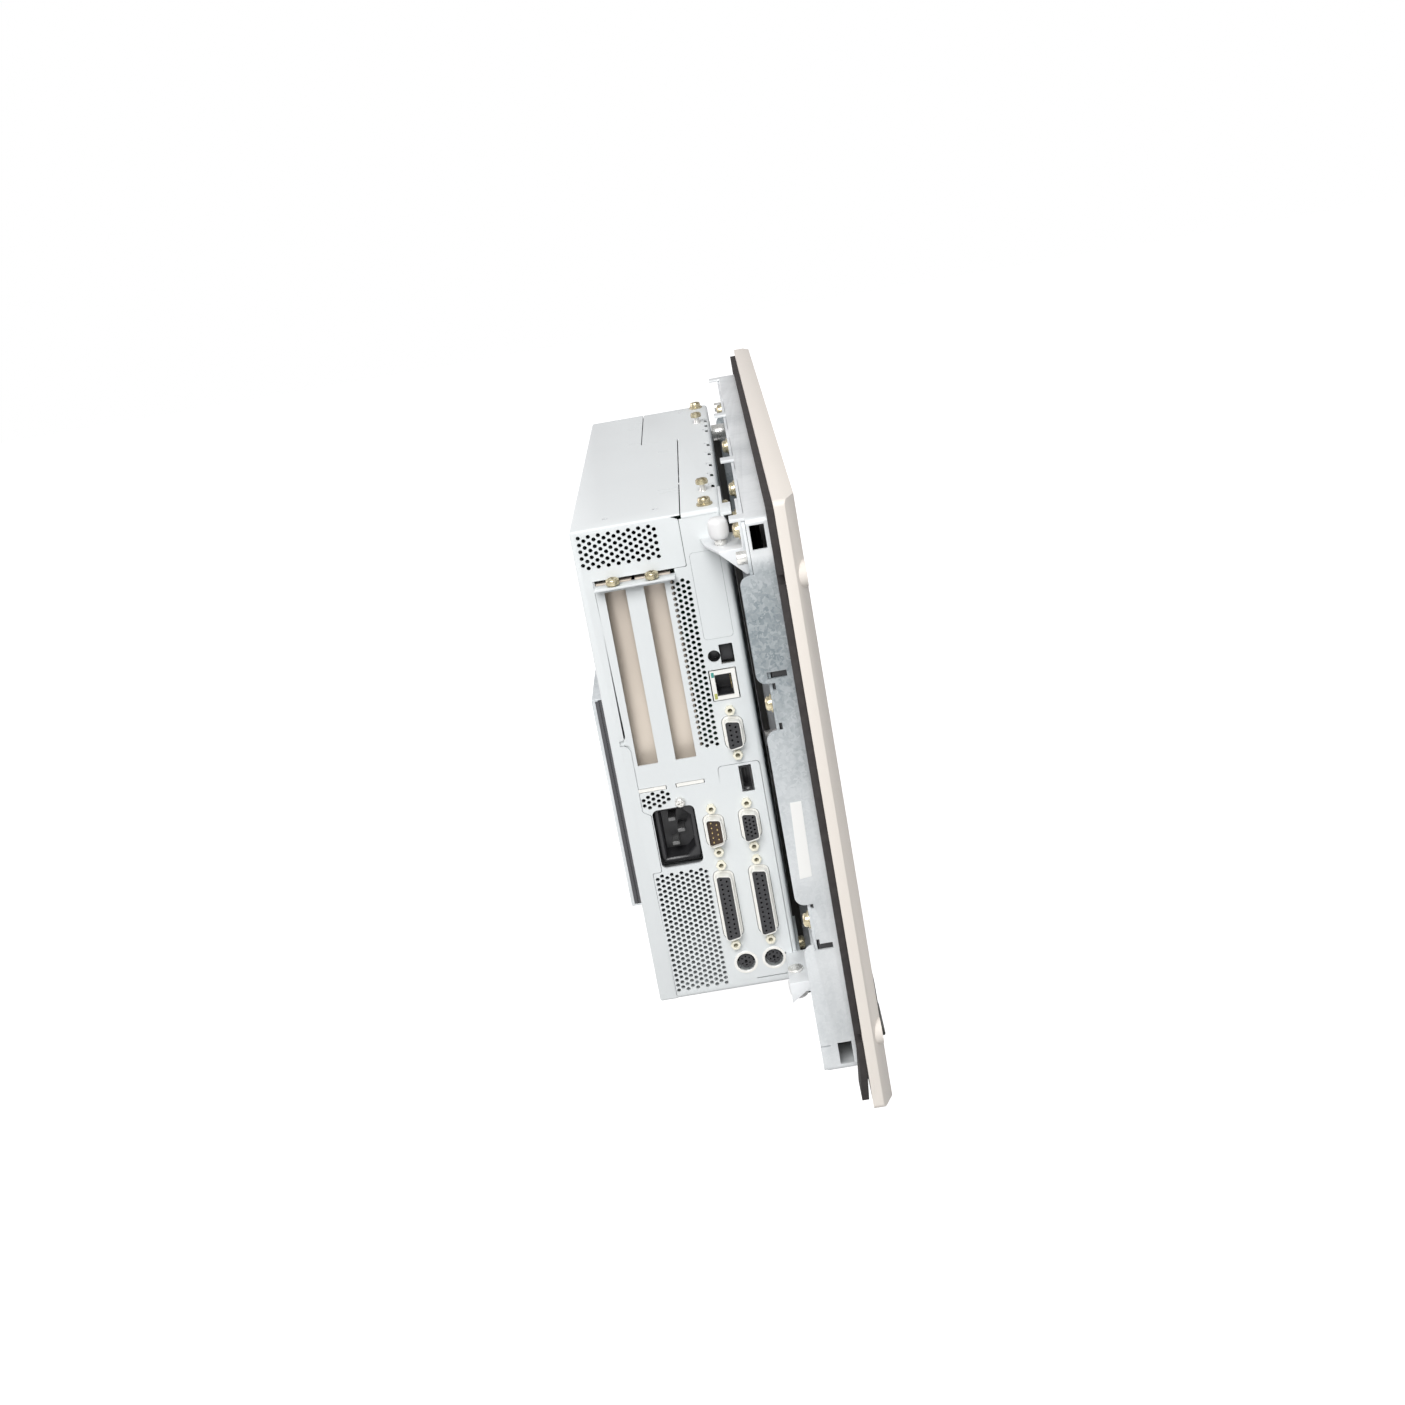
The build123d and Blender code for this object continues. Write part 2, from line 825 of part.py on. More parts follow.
# The lower shelf is shorter, and its gusset guards the bush
lower_shelf = [
    (shelf_outer, bracket_front),
    (shelf_outer, lower_shelf_reach),
    (shelf_inner, lower_shelf_reach),
    (shelf_inner, bracket_front),
]
lower_gusset = [
    (bracket_front, shelf_top),
    (bracket_front, shelf_top + guard_heel_drop),
    (guard_heel, shelf_top + guard_heel_drop),
    (lower_shelf_reach, shelf_top + guard_tip_drop),
    (lower_shelf_reach, shelf_top),
]
mirror_level = Plane.XY.offset(box_offset_z)
with BuildPart() as hinge_brackets:
    add(tray_bracket(upper_shelf, upper_gusset))
    mirror(tray_bracket(lower_shelf, lower_gusset), about=mirror_level)
save(hinge_brackets.part, "hinge_brackets")

with BuildPart() as bracket_screws:
    for x, z in upper_flange_screws:
        add(rearward(x, bracket_front + shelf_sheet, z) * pan_screw(shelf_sheet + tray_sheet + tray_sheet))
    mirror(about=mirror_level)
save(bracket_screws.part, "bracket_screws")

# Hinge pins, riveted in the shelves, each with a spacer collar under its bush
bush_bottom = shelf_top + spacer_height
bush_top = bush_bottom + bush_height
with BuildPart() as hinge_pins:
    with BuildSketch(level(shelf_top - shelf_sheet - pin_head_height)):
        with Locations((hinge_x, hinge_y)):
            Circle(pin_head_radius)
    extrude(amount=pin_head_height)
    with BuildSketch(level(shelf_top - shelf_sheet)):
        with Locations((hinge_x, hinge_y)):
            Circle(pin_radius)
    extrude(amount=bush_top - bush_cap - fit_gap - shelf_top + shelf_sheet)
    with BuildSketch(level(shelf_top)):
        with Locations((hinge_x, hinge_y)):
            Circle(spacer_radius)
    extrude(amount=spacer_height - fit_gap)
    mirror(about=mirror_level)
save(hinge_pins.part, "hinge_pins")

# Hinge leaves on the box: a plate on its front wall, a lip on top and an ear round the pin
ear_bottom = bush_bottom + ear_rise
leaf_back = box_front
leaf_front = leaf_back - leaf_sheet
leaf_end = hinge_x + bush_radius + fit_gap
leaf_screw_inset = 12.0


def ear_outline():
    """Ear in plan: a round eye on the pin with a neck that reaches the leaf."""
    with BuildSketch() as ear:
        with Locations((hinge_x, hinge_y)):
            Circle(ear_radius)
            Rectangle(leaf_end - hinge_x + leaf_sheet, ear_radius, align=(Align.MIN, Align.MAX))
        with Locations((leaf_end, hinge_y)):
            Rectangle(leaf_sheet, hinge_y - leaf_front, align=(Align.MIN, Align.MAX))
    return ear.sketch


def box_leaf():
    """Upper hinge leaf of the computer unit."""
    with BuildPart() as leaf:
        with BuildSketch(across(leaf_back)):
            with Locations((leaf_end, box_top)):
                Rectangle(box_left + leaf_on_box - leaf_end, leaf_height, align=(Align.MIN, Align.MAX))
            with Locations((box_left + leaf_on_box - leaf_screw_inset, box_top - leaf_height / 2)):
                Circle(screw_hole_radius, mode=Mode.SUBTRACT)
        extrude(amount=leaf_sheet)
        with BuildSketch(level(box_top - leaf_sheet)):
            with Locations((leaf_end, leaf_back)):
                Rectangle(box_left - leaf_end, leaf_lip, align=(Align.MIN, Align.MAX))
        extrude(amount=leaf_sheet)
        add(extrude(level(ear_bottom) * ear_outline(), amount=ear_sheet))
        with BuildSketch(level(ear_bottom)):
            with Locations((hinge_x, hinge_y)):
                Circle(pin_radius + bearing_gap)
        extrude(amount=ear_sheet, mode=Mode.SUBTRACT)
    return leaf.part


with BuildPart() as hinge_leaves:
    add(box_leaf())
    mirror(about=mirror_level)
save(hinge_leaves.part, "hinge_leaves")

# Nylon bushes moulded round the ears
with BuildPart() as hinge_bushes:
    with BuildSketch(level(bush_bottom)):
        with Locations((hinge_x, hinge_y)):
            Circle(bush_radius)
    extrude(amount=bush_height)
    chamfer(hinge_bushes.edges().group_by(Axis.Z)[-1], bush_cap)
    with BuildSketch(level(bush_bottom)):
        with Locations((hinge_x, hinge_y)):
            Circle(pin_radius + bearing_gap)
    extrude(amount=bush_height - bush_cap, mode=Mode.SUBTRACT)
    add(extrude(level(ear_bottom) * ear_outline(), amount=ear_sheet), mode=Mode.SUBTRACT)
    mirror(about=mirror_level)
save(hinge_bushes.part, "hinge_bushes")

# Places of the connectors on the port side, as depth and height
column_one = box_front + first_column
column_two = column_one + column_pitch
serial_z = box_top - serial_drop
second_serial_z = box_top - second_serial_drop
video_z = box_top - video_drop
printer_z = box_top - printer_drop
ethernet_y = column_one + ethernet_off
ethernet_z = box_top - ethernet_drop
usb_y = column_one + usb_off
usb_z = box_top - usb_drop
din_z = box_top - din_drop
din_places = [(column_one, din_z), (column_one + din_pitch, din_z)]
eject_y = box_front + eject_column
eject_z = box_top - eject_drop
reset_y = box_front + reset_column
reset_z = box_top - reset_drop
inlet_y = box_front + inlet_column
wall_screw_y = box_front + wall_screw_column
wall_screw_z = box_top - wall_screw_drop
inlet_z = box_top - inlet_drop
slot_top = box_top - slot_drop
slot_middle = slot_top - slot_height / 2
slot_places = [
    (box_front + slot_column, slot_middle),
    (box_front + slot_column + slot_pitch, slot_middle),
]
tail_z = box_top - tail_slot_drop
nine_places = [(column_one, serial_z), (column_one, video_z), (column_two, second_serial_z)]
wide_places = [(column_one, printer_z), (column_two, printer_z)]

# Vent fields: place of the middle, width in depth and height
supply_vent_column = 54.0
supply_vent_height = 70.5
supply_vent_width = 27.0
supply_vent_bottom = 4.5
supply_vent_y = box_front + supply_vent_column
flap_vent_width = 39.5
flap_vent_height = 17.0
strip_vent_width = 8.0
strip_vent_height = 92.0
strip_vent_column = 26.6
small_vent_width = 11.5
small_vent_height = 7.5
small_vent_column = 61.3
small_vent_drop = 153.8
vent_fields = [
    (
        supply_vent_y,
        box_bottom + supply_vent_bottom + supply_vent_height / 2,
        supply_vent_width,
        supply_vent_height,
    ),
    (box_front + strip_vent_column, slot_middle, strip_vent_width, strip_vent_height),
    (box_front + small_vent_column, box_top - small_vent_drop, small_vent_width, small_vent_height),
]
flap_vent_field = (
    box_back - strip_width / 2 - flap_vent_width / 2,
    box_top - flap_height / 2 + vent_radius,
    flap_vent_width,
    flap_vent_height,
)


def dsub_outline(length, thickness, corner):
    """D-shaped outline of a connector, its long axis upward and its wide side to the rear."""
    slope = thickness * dsub_slope_share
    with BuildSketch() as outline:
        with BuildLine():
            Polyline(
                (-thickness / 2, -length / 2 + slope),
                (-thickness / 2, length / 2 - slope),
                (thickness / 2, length / 2),
                (thickness / 2, -length / 2),
                close=True,
            )
        make_face()
        fillet(outline.vertices(), corner)
    return outline.sketch


# Chassis: a folded box with its port wall cut for the connectors, slots, inlet and vents
board_front = box_front + sheet + board_lift
board_face = board_front + board_thickness
port_inner = box_left + sheet
chassis_back = box_back - hood_sheet - fit_gap
strip_front = box_back - strip_width
lap_front = strip_front - lap_inside
lap_back = strip_front + lap_outside
lap_width = box_width - 2 * sheet - 2 * lap_sheet
lap_height = box_height - 2 * sheet - 2 * lap_sheet
port_inner_bottom = box_bottom + sheet + lap_sheet
lap_slot_back = box_front + slot_column + slot_pitch + blank_width / 2 + fit_gap
lap_slot_bottom = tail_z - tail_slot_height - fit_gap
inlet_flange_width = inlet_width + 2 * inlet_flange_rim
inlet_flange_height = inlet_height + 2 * inlet_flange_rim
flap_front = box_front + flap_inset
free_flap_front = box_front + free_edge
flap_bottom = box_top - flap_height
cut_gap = 1.0
io_top_drop = 138.6
io_top = box_top - io_top_drop
io_bottom_margin = 4.5
io_front_margin = 2.6
io_width = 21.9
io_foot_width = 32.8
io_foot_height = 18.0
plate_rim = 1.2
plate_rim_sheet = 1.0
card_top_drop = 21.6
card_height = 47.0
card_front_margin = 4.2
card_width = 15.3
card_hinge_corner = 2.0
rail_thickness = 1.2
rail_reach = 7.5
rail_lug = 2.5
slot_screw_reach = 4.0
fan_x = box_right - sheet - fan_depth
fan_y = box_front + sheet + fan_size / 2 + fan_margin
fan_z = box_top - fan_drop
io_bottom = box_bottom + io_bottom_margin
io_front = box_front + io_front_margin
card_top = box_top - card_top_drop
card_front = box_front + card_front_margin
rail_top = slot_top + blank_top_over
slot_screw_places = [(box_left - slot_screw_reach, y) for y, z in slot_places]
rail_front = box_front + slot_column - blank_width / 2 - rail_lug


def shell_opening(shell_length):
    """Opening of the wall round the shell of a D-shaped connector."""
    return dsub_outline(
        shell_length + 2 * cut_gap,
        dsub_shell_thickness + 2 * cut_gap,
        dsub_corner_radius + cut_gap,
    )


def button_openings():
    """Outlines of the openings that the push buttons move in."""
    with BuildSketch() as openings:
        with Locations((eject_y, eject_z)):
            Rectangle(eject_width + 2 * fit_gap, eject_height + 2 * fit_gap)
        with Locations((reset_y, reset_z)):
            Circle(reset_radius + fit_gap)
    return openings.sketch


def connector_openings():
    """Outlines cut in the port side for the connectors, in depth and height."""
    with BuildSketch() as openings:
        for y, z in nine_places:
            with Locations((y, z)):
                add(shell_opening(nine_shell_length))
                with GridLocations(0, nine_screw_pitch, 1, 2):
                    Circle(jack_hole_radius)
        for y, z in wide_places:
            with Locations((y, z)):
                add(shell_opening(wide_shell_length))
                with GridLocations(0, wide_screw_pitch, 1, 2):
                    Circle(jack_hole_radius)
        with Locations((ethernet_y, ethernet_z)):
            Rectangle(ethernet_width + 2 * fit_gap, ethernet_height + 2 * fit_gap)
        with Locations((usb_y, usb_z)):
            Rectangle(usb_thickness + 2 * fit_gap, usb_height + 2 * fit_gap)
        with Locations(*din_places):
            Circle(din_radius + fit_gap)
        add(button_openings())
    return openings.sketch


def hood_plan(margin):
    """The hood's top in plan: its front edge steps back over the free half."""
    with BuildSketch() as plan:
        with Locations((box_left - overrun, box_front + hood_edge + margin)):
            Rectangle(box_width + 2 * overrun, box_depth, align=(Align.MIN, Align.MIN))
        with Locations((box_right + overrun, box_front + free_edge + margin)):
            Rectangle(
                box_right + overrun - hood_step_x,
                box_depth,
                align=(Align.MAX, Align.MAX),
                mode=Mode.SUBTRACT,
            )
    return plan.sketch


def wide_strip(margin):
    """Wide part of the hood's strip on the port side, grown by a margin."""
    with BuildSketch() as strip:
        with BuildLine():
            Polyline(
                (box_back, box_top - strip_break_bottom + margin),
                (box_back - strip_lower_width - margin, box_top - strip_break_bottom + margin),
                (box_back - strip_lower_width - margin, box_top - inlet_step_top + inlet_step_slope),
                (box_back - strip_inlet_width - margin, box_top - inlet_step_top + margin),
                (box_back - strip_inlet_width - margin, box_top - inlet_step_bottom - margin),
                (box_back - strip_foot_width - margin, box_top - inlet_step_bottom - margin),
                (box_back - strip_foot_width - margin, box_bottom),
                (box_back, box_bottom),
                close=True,
            )
        make_face()
        fillet(strip.vertices().sort_by(Axis.Y)[-2:].sort_by(Axis.X)[0], strip_corner_radius)
    return strip.sketch


def io_outline(margin):
    """Outline of the connector plate, grown by a margin."""
    with BuildSketch() as outline:
        with Locations((io_front - margin, io_bottom - margin)):
            Rectangle(io_width + 2 * margin, io_top - io_bottom + 2 * margin, align=(Align.MIN, Align.MIN))
            Rectangle(io_foot_width + 2 * margin, io_foot_height + 2 * margin, align=(Align.MIN, Align.MIN))
        fillet(outline.vertices(), card_hinge_corner)
    return outline.sketch


def card_outline(margin):
    """Outline of the card cover, grown by a margin."""
    with BuildSketch() as outline:
        with Locations((card_front - margin, card_top - card_height - margin)):
            Rectangle(card_width + 2 * margin, card_height + 2 * margin, align=(Align.MIN, Align.MIN))
        fillet(outline.vertices(), card_hinge_corner)
    return outline.sketch


with BuildPart() as chassis:
    with BuildSketch(across(box_front)):
        with Locations((box_offset_x, box_offset_z)):
            Rectangle(box_width, box_height)
    extrude(amount=-(chassis_back - box_front))
    front_edges = chassis.edges().group_by(Axis.Y)[0]
    fillet(front_edges, bend_radius)
    with BuildSketch(across(box_front + sheet)):
        with Locations((box_offset_x, box_offset_z)):
            Rectangle(box_width - 2 * sheet, box_height - 2 * sheet)
    extrude(amount=-box_depth, mode=Mode.SUBTRACT)
    # Room for the hood: its stepped top, its flaps on both sides and the strip all round the rear
    with BuildSketch(level(box_top - sheet)):
        add(hood_plan(0))
    extrude(amount=sheet + overrun, mode=Mode.SUBTRACT)
    with BuildSketch(side(box_left - overrun)):
        with Locations((flap_front, flap_bottom)):
            Rectangle(box_depth, flap_height + overrun, align=(Align.MIN, Align.MIN))
    extrude(amount=sheet + overrun, mode=Mode.SUBTRACT)
    with BuildSketch(side(box_right - sheet)):
        with Locations((free_flap_front, flap_bottom)):
            Rectangle(box_depth, flap_height + overrun, align=(Align.MIN, Align.MIN))
    extrude(amount=sheet + overrun, mode=Mode.SUBTRACT)
    with BuildSketch(side(box_left - overrun)):
        with Locations((strip_front, box_bottom - overrun)):
            Rectangle(strip_width, box_height + 2 * overrun, align=(Align.MIN, Align.MIN))
    extrude(amount=box_width + 2 * overrun, mode=Mode.SUBTRACT)
    with BuildSketch(side(box_left - overrun)):
        add(wide_strip(fit_gap))
    extrude(amount=sheet + overrun, mode=Mode.SUBTRACT)
    # Lap flange that the rear strip covers, wider where the strip is wide
    with BuildSketch(across(lap_front)):
        with Locations((box_offset_x, box_offset_z)):
            Rectangle(box_width - 2 * sheet, box_height - 2 * sheet)
            Rectangle(lap_width, lap_height, mode=Mode.SUBTRACT)
    extrude(amount=-(lap_inside + lap_outside))
    with BuildSketch(side(port_inner)):
        add(wide_strip(lap_inside + fit_gap))
        with Locations((lap_back, box_offset_z)):
            Rectangle(box_depth, 2 * box_height, align=(Align.MIN, Align.CENTER), mode=Mode.SUBTRACT)
        with Locations((box_back, port_inner_bottom)):
            Rectangle(box_depth, box_height, align=(Align.MAX, Align.MAX), mode=Mode.SUBTRACT)
        with Locations((lap_slot_back, lap_slot_bottom)):
            Rectangle(box_depth, box_height, align=(Align.MAX, Align.MIN), mode=Mode.SUBTRACT)
    extrude(amount=lap_sheet)
    with BuildSketch(side(port_inner)):
        with Locations((inlet_y, inlet_z)):
            Rectangle(inlet_flange_width + 2 * fit_gap, inlet_flange_height + 2 * fit_gap)
    extrude(amount=lap_sheet, mode=Mode.SUBTRACT)
    with BuildSketch(side(box_left - overrun)):
        with Locations((box_front + hood_edge, flap_bottom)):
            Rectangle(box_depth, flap_height + overrun, align=(Align.MIN, Align.MIN))
    extrude(amount=box_width / 2 + overrun, mode=Mode.SUBTRACT)
    with BuildSketch(side(box_right + overrun)):
        with Locations((free_flap_front, flap_bottom)):
            Rectangle(box_depth, flap_height + overrun, align=(Align.MIN, Align.MIN))
    extrude(amount=-(box_width / 2 + overrun), mode=Mode.SUBTRACT)
    # Port wall
    with BuildSketch(side(box_left - overrun)):
        add(connector_openings())
        add(io_outline(fit_gap))
        add(card_outline(fit_gap))
        with Locations(*slot_places):
            Rectangle(slot_width, slot_height)
        with Locations(*[(y + slot_width / 2 - tail_slot_width / 3, tail_z) for y, z in slot_places]):
            Rectangle(tail_slot_width, tail_slot_height)
        with Locations((inlet_y, inlet_z)):
            Rectangle(inlet_width + 2 * fit_gap, inlet_height + 2 * fit_gap)
        with Locations((wall_screw_y, wall_screw_z)):
            Circle(screw_hole_radius)
        for y, z, width, height in vent_fields:
            with Locations((y, z)):
                with Locations(*hex_field(width, height)):
                    RegularPolygon(vent_radius, vent_sides)
    extrude(amount=sheet + 2 * overrun, mode=Mode.SUBTRACT)
    # Ledge bent outward under the slot plates' tabs, with a slot over it for the tabs
    with BuildSketch(level(rail_top - rail_thickness)):
        with Locations((port_inner, rail_front)):
            Rectangle(rail_reach + sheet, rail_width, align=(Align.MAX, Align.MIN))
        with Locations(*slot_screw_places):
            Circle(screw_hole_radius, mode=Mode.SUBTRACT)
    extrude(amount=rail_thickness)
    with BuildSketch(side(box_left - overrun)):
        with Locations((rail_front, rail_top)):
            Rectangle(rail_width, flap_bottom - rail_top + overrun, align=(Align.MIN, Align.MIN))
    extrude(amount=sheet + overrun, mode=Mode.SUBTRACT)
    # Fan vent in the free side
    with BuildSketch(side(box_right - sheet - overrun)):
        with Locations((fan_y, fan_z)):
            RegularPolygon(vent_radius, vent_sides)
            for ring in range(1, fan_vent_rings + 1):
                with PolarLocations(ring * fan_vent_pitch, ring * vent_sides):
                    RegularPolygon(vent_radius, vent_sides)
    extrude(amount=sheet + 2 * overrun, mode=Mode.SUBTRACT)
save(chassis.part, "chassis")

# Hood: rear wall, top, a vented flap on the port side and a strip all round
with BuildPart() as hood:
    with BuildSketch(across(box_back)):
        with Locations((box_offset_x, box_offset_z)):
            Rectangle(box_width, box_height)
    extrude(amount=strip_width - fit_gap)
    with BuildSketch(side(box_left)):
        with Locations((box_back, box_top)):
            Rectangle(box_depth - hood_edge - fit_gap, flap_height - fit_gap, align=(Align.MAX, Align.MAX))
    extrude(amount=box_width)
    with BuildSketch(across(box_back - hood_sheet)):
        with Locations((box_offset_x, box_offset_z)):
            Rectangle(box_width - 2 * hood_sheet, box_height - 2 * hood_sheet)
    extrude(amount=box_depth, mode=Mode.SUBTRACT)
    fillet(hood.edges().group_by(Axis.Y)[-1], hood_sheet)
    # Wide strip on the port side, broken under the upper strip
    with BuildSketch(side(box_left)):
        add(wide_strip(0))
    extrude(amount=hood_sheet)
    with BuildSketch(side(box_left - overrun)):
        with Locations((strip_front - overrun, box_top - strip_break_bottom)):
            Rectangle(
                strip_width - strip_break_depth + overrun,
                strip_break_bottom - strip_break_top,
                align=(Align.MIN, Align.MIN),
            )
    extrude(amount=hood_sheet + overrun, mode=Mode.SUBTRACT)
    # The top steps back over the free half, and the flap there with it
    with BuildSketch(level(flap_bottom - overrun)):
        with Locations((box_right + overrun, box_front)):
            Rectangle(
                box_right + overrun - hood_step_x + fit_gap, free_edge + fit_gap, align=(Align.MAX, Align.MIN)
            )
    extrude(amount=flap_height + 2 * overrun, mode=Mode.SUBTRACT)
    # The side flaps stop short of the top's front edge
    with BuildSketch(side(box_left - overrun)):
        with Locations((box_front + hood_edge, box_top - hood_sheet - fit_gap)):
            Rectangle(
                flap_front + fit_gap - box_front - hood_edge, flap_height, align=(Align.MIN, Align.MAX)
            )
    extrude(amount=box_width + 2 * overrun, mode=Mode.SUBTRACT)
    with BuildSketch(side(box_left - overrun)):
        y, z, width, height = flap_vent_field
        with Locations((y, z)):
            with Locations(*hex_field(width, height)):
                RegularPolygon(vent_radius, vent_sides)
    extrude(amount=hood_sheet + 2 * overrun, mode=Mode.SUBTRACT)
save(hood.part, "hood")

# Connector plate and card cover: flush islands with a rim behind the wall
with BuildPart() as io_plate:
    with BuildSketch(side(box_left)):
        add(io_outline(0))
    extrude(amount=sheet)
    with BuildSketch(side(port_inner)):
        add(io_outline(plate_rim))
        add(io_outline(-plate_rim), mode=Mode.SUBTRACT)
    extrude(amount=plate_rim_sheet)
    with BuildSketch(side(box_left - overrun)):
        add(connector_openings())
    extrude(amount=sheet + plate_rim_sheet + 2 * overrun, mode=Mode.SUBTRACT)
save(io_plate.part, "io_plate")

with BuildPart() as card_cover:
    with BuildSketch(side(box_left)):
        add(card_outline(0))
    extrude(amount=sheet)
    with BuildSketch(side(port_inner)):
        add(card_outline(plate_rim))
    extrude(amount=plate_rim_sheet)
    with BuildSketch(side(box_left - overrun)):
        add(button_openings())
    extrude(amount=sheet + plate_rim_sheet + 2 * overrun, mode=Mode.SUBTRACT)
save(card_cover.part, "card_cover")

# Motherboard on studs from the front wall
board_left = port_inner + board_inset
board_bottom = box_bottom + sheet + board_inset
board_top = box_top - sheet - board_top_room
board_height = board_top - board_bottom
board_stud_inset = 6.0
with BuildPart() as motherboard:
    with BuildSketch(across(board_front)):
        with Locations((board_left, board_bottom)):
            Rectangle(board_width, board_height, align=(Align.MIN, Align.MIN))
    extrude(amount=-board_thickness)
    with BuildSketch(across(board_front - board_lift)):
        with Locations((board_left + board_width / 2, board_bottom + board_height / 2)):
            with GridLocations(board_width - 2 * board_stud_inset, board_height - 2 * board_stud_inset, 2, 2):
                Circle(stud_radius)
    extrude(amount=-board_lift)
save(motherboard.part, "motherboard")

# Riser board with its sockets, and the memory sockets on the motherboard
riser_left = box_left + riser_left_inset
riser_z = box_top - riser_drop
card_socket_gap = 1.0
memory_places = [(memory_x, memory_z), (memory_x + memory_pitch, memory_z)]
with BuildPart() as riser_board:
    with BuildSketch(level(riser_z - board_thickness)):
        with Locations((riser_left, board_face)):
            Rectangle(riser_length, riser_height, align=(Align.MIN, Align.MIN))
    extrude(amount=board_thickness)
save(riser_board.part, "riser_board")

with BuildPart() as board_sockets:
    with BuildSketch(level(riser_z)):
        for y, z in slot_places:
            with Locations((riser_left + riser_length / 2, y)):
                Rectangle(card_socket_length, card_socket_width)
                Rectangle(card_socket_length - 4 * card_socket_gap, card_socket_gap, mode=Mode.SUBTRACT)
    extrude(amount=card_socket_height)
    with BuildSketch(across(board_face)):
        with Locations(*memory_places):
            Rectangle(memory_socket_width, memory_length + memory_socket_width)
            Rectangle(memory_thickness + 2 * sliding_gap, memory_length + 2 * sliding_gap, mode=Mode.SUBTRACT)
    extrude(amount=-memory_socket_height)
save(board_sockets.part, "board_sockets")

with BuildPart() as memory_modules:
    with BuildSketch(across(board_face)):
        with Locations(*memory_places):
            Rectangle(memory_thickness, memory_length)
    extrude(amount=-memory_height)
save(memory_modules.part, "memory_modules")

with BuildPart() as processor:
    with BuildSketch(across(board_face)):
        with Locations((sink_x, sink_z)):
            Rectangle(chip_size, chip_size)
    extrude(amount=-chip_height)
save(processor.part, "processor")

sink_front = board_face + chip_height
sink_pitch = (sink_size - sink_fin) / (sink_fins - 1)
with BuildPart() as heat_sink:
    with BuildSketch(across(sink_front)):
        with Locations((sink_x, sink_z)):
            Rectangle(sink_size, sink_size)
    extrude(amount=-sink_base)
    with BuildSketch(across(sink_front + sink_base)):
        with Locations((sink_x, sink_z)):
            with GridLocations(sink_pitch, 0, sink_fins, 1):
                Rectangle(sink_fin, sink_size)
    extrude(amount=-(sink_height - sink_base))
save(heat_sink.part, "heat_sink")

# Hard disk in a sheet cradle on the front wall
disk_seat = box_front + sheet + disk_tray_sheet
disk_side = disk_width / 2 + disk_tray_gap
with BuildPart() as disk_cradle:
    with BuildSketch(level(disk_z - disk_length / 2)):
        with Locations((disk_x, box_front + sheet)):
            Rectangle(2 * disk_side + 2 * disk_tray_sheet, disk_height, align=(Align.CENTER, Align.MIN))
        with Locations((disk_x, disk_seat)):
            Rectangle(2 * disk_side, disk_height, align=(Align.CENTER, Align.MIN), mode=Mode.SUBTRACT)
    extrude(amount=disk_length)
save(disk_cradle.part, "disk_cradle")

with BuildPart() as hard_disk:
    with BuildSketch(across(disk_seat)):
        with Locations((disk_x, disk_z)):
            Rectangle(disk_width, disk_length)
    extrude(amount=-disk_height)
    chamfer(hard_disk.edges().group_by(Axis.Y)[-1], disk_tray_gap)
save(hard_disk.part, "hard_disk")

# Power supply: a sheet box that is open to the port side's vents
supply_left = port_inner + lap_sheet + fit_gap
supply_back = box_back - hood_sheet - fit_gap
supply_front = supply_back - supply_depth
supply_bottom = box_bottom + sheet + lap_sheet + fit_gap
with BuildPart() as power_supply:
    with BuildSketch(side(supply_left)):
        with Locations((supply_front, supply_bottom)):
            Rectangle(supply_depth, supply_height, align=(Align.MIN, Align.MIN))
    extrude(amount=supply_length)
    with BuildSketch(side(supply_left)):
        with Locations((supply_front + supply_wall, supply_bottom + supply_wall)):
            Rectangle(
                supply_depth - 2 * supply_wall, supply_height - 2 * supply_wall, align=(Align.MIN, Align.MIN)
            )
    extrude(amount=supply_length - supply_wall, mode=Mode.SUBTRACT)
save(power_supply.part, "power_supply")

# Mains inlet: rounded collar, deep cavity with two chamfered corners, flange behind the wall
with BuildPart() as mains_inlet:
    with BuildSketch(side(box_left - inlet_collar)):
        with Locations((inlet_y, inlet_z)):
            RectangleRounded(inlet_width, inlet_height, inlet_corner_radius)
    extrude(amount=inlet_collar + sheet + inlet_body_depth)
    with BuildSketch(side(port_inner)):
        with Locations((inlet_y, inlet_z)):
            Rectangle(inlet_flange_width, inlet_flange_height)
    extrude(amount=inlet_flange)
    with BuildSketch(side(box_left - inlet_collar)):
        with BuildLine():
            cavity_front = inlet_y - inlet_width / 2 + inlet_rim
            cavity_rear = inlet_y + inlet_width / 2 - inlet_rim
            cavity_low = inlet_z - inlet_height / 2 + inlet_rim
            cavity_high = inlet_z + inlet_height / 2 - inlet_rim
            Polyline(
                (cavity_front, cavity_low + inlet_chamfer),
                (cavity_front, cavity_high - inlet_chamfer),
                (cavity_front + inlet_chamfer, cavity_high),
                (cavity_rear, cavity_high),
                (cavity_rear, cavity_low),
                (cavity_front + inlet_chamfer, cavity_low),
                close=True,
            )
        make_face()
    extrude(amount=inlet_cavity_depth, mode=Mode.SUBTRACT)
    chamfer(mains_inlet.edges().group_by(Axis.X)[0], inlet_rim / 4)
save(mains_inlet.part, "mains_inlet")

inlet_floor = box_left - inlet_collar + inlet_cavity_depth
with BuildPart() as inlet_pins:
    with BuildSketch(side(inlet_floor - inlet_pin_length)):
        with Locations((inlet_y + inlet_earth_shift / 2, inlet_z)):
            with GridLocations(0, inlet_pin_pitch, 1, 2):
                Rectangle(inlet_pin_width, inlet_pin_thickness)
        with Locations((inlet_y - inlet_earth_shift / 2, inlet_z)):
            Rectangle(inlet_pin_width, inlet_pin_thickness)
    extrude(amount=inlet_pin_length)
save(inlet_pins.part, "inlet_pins")

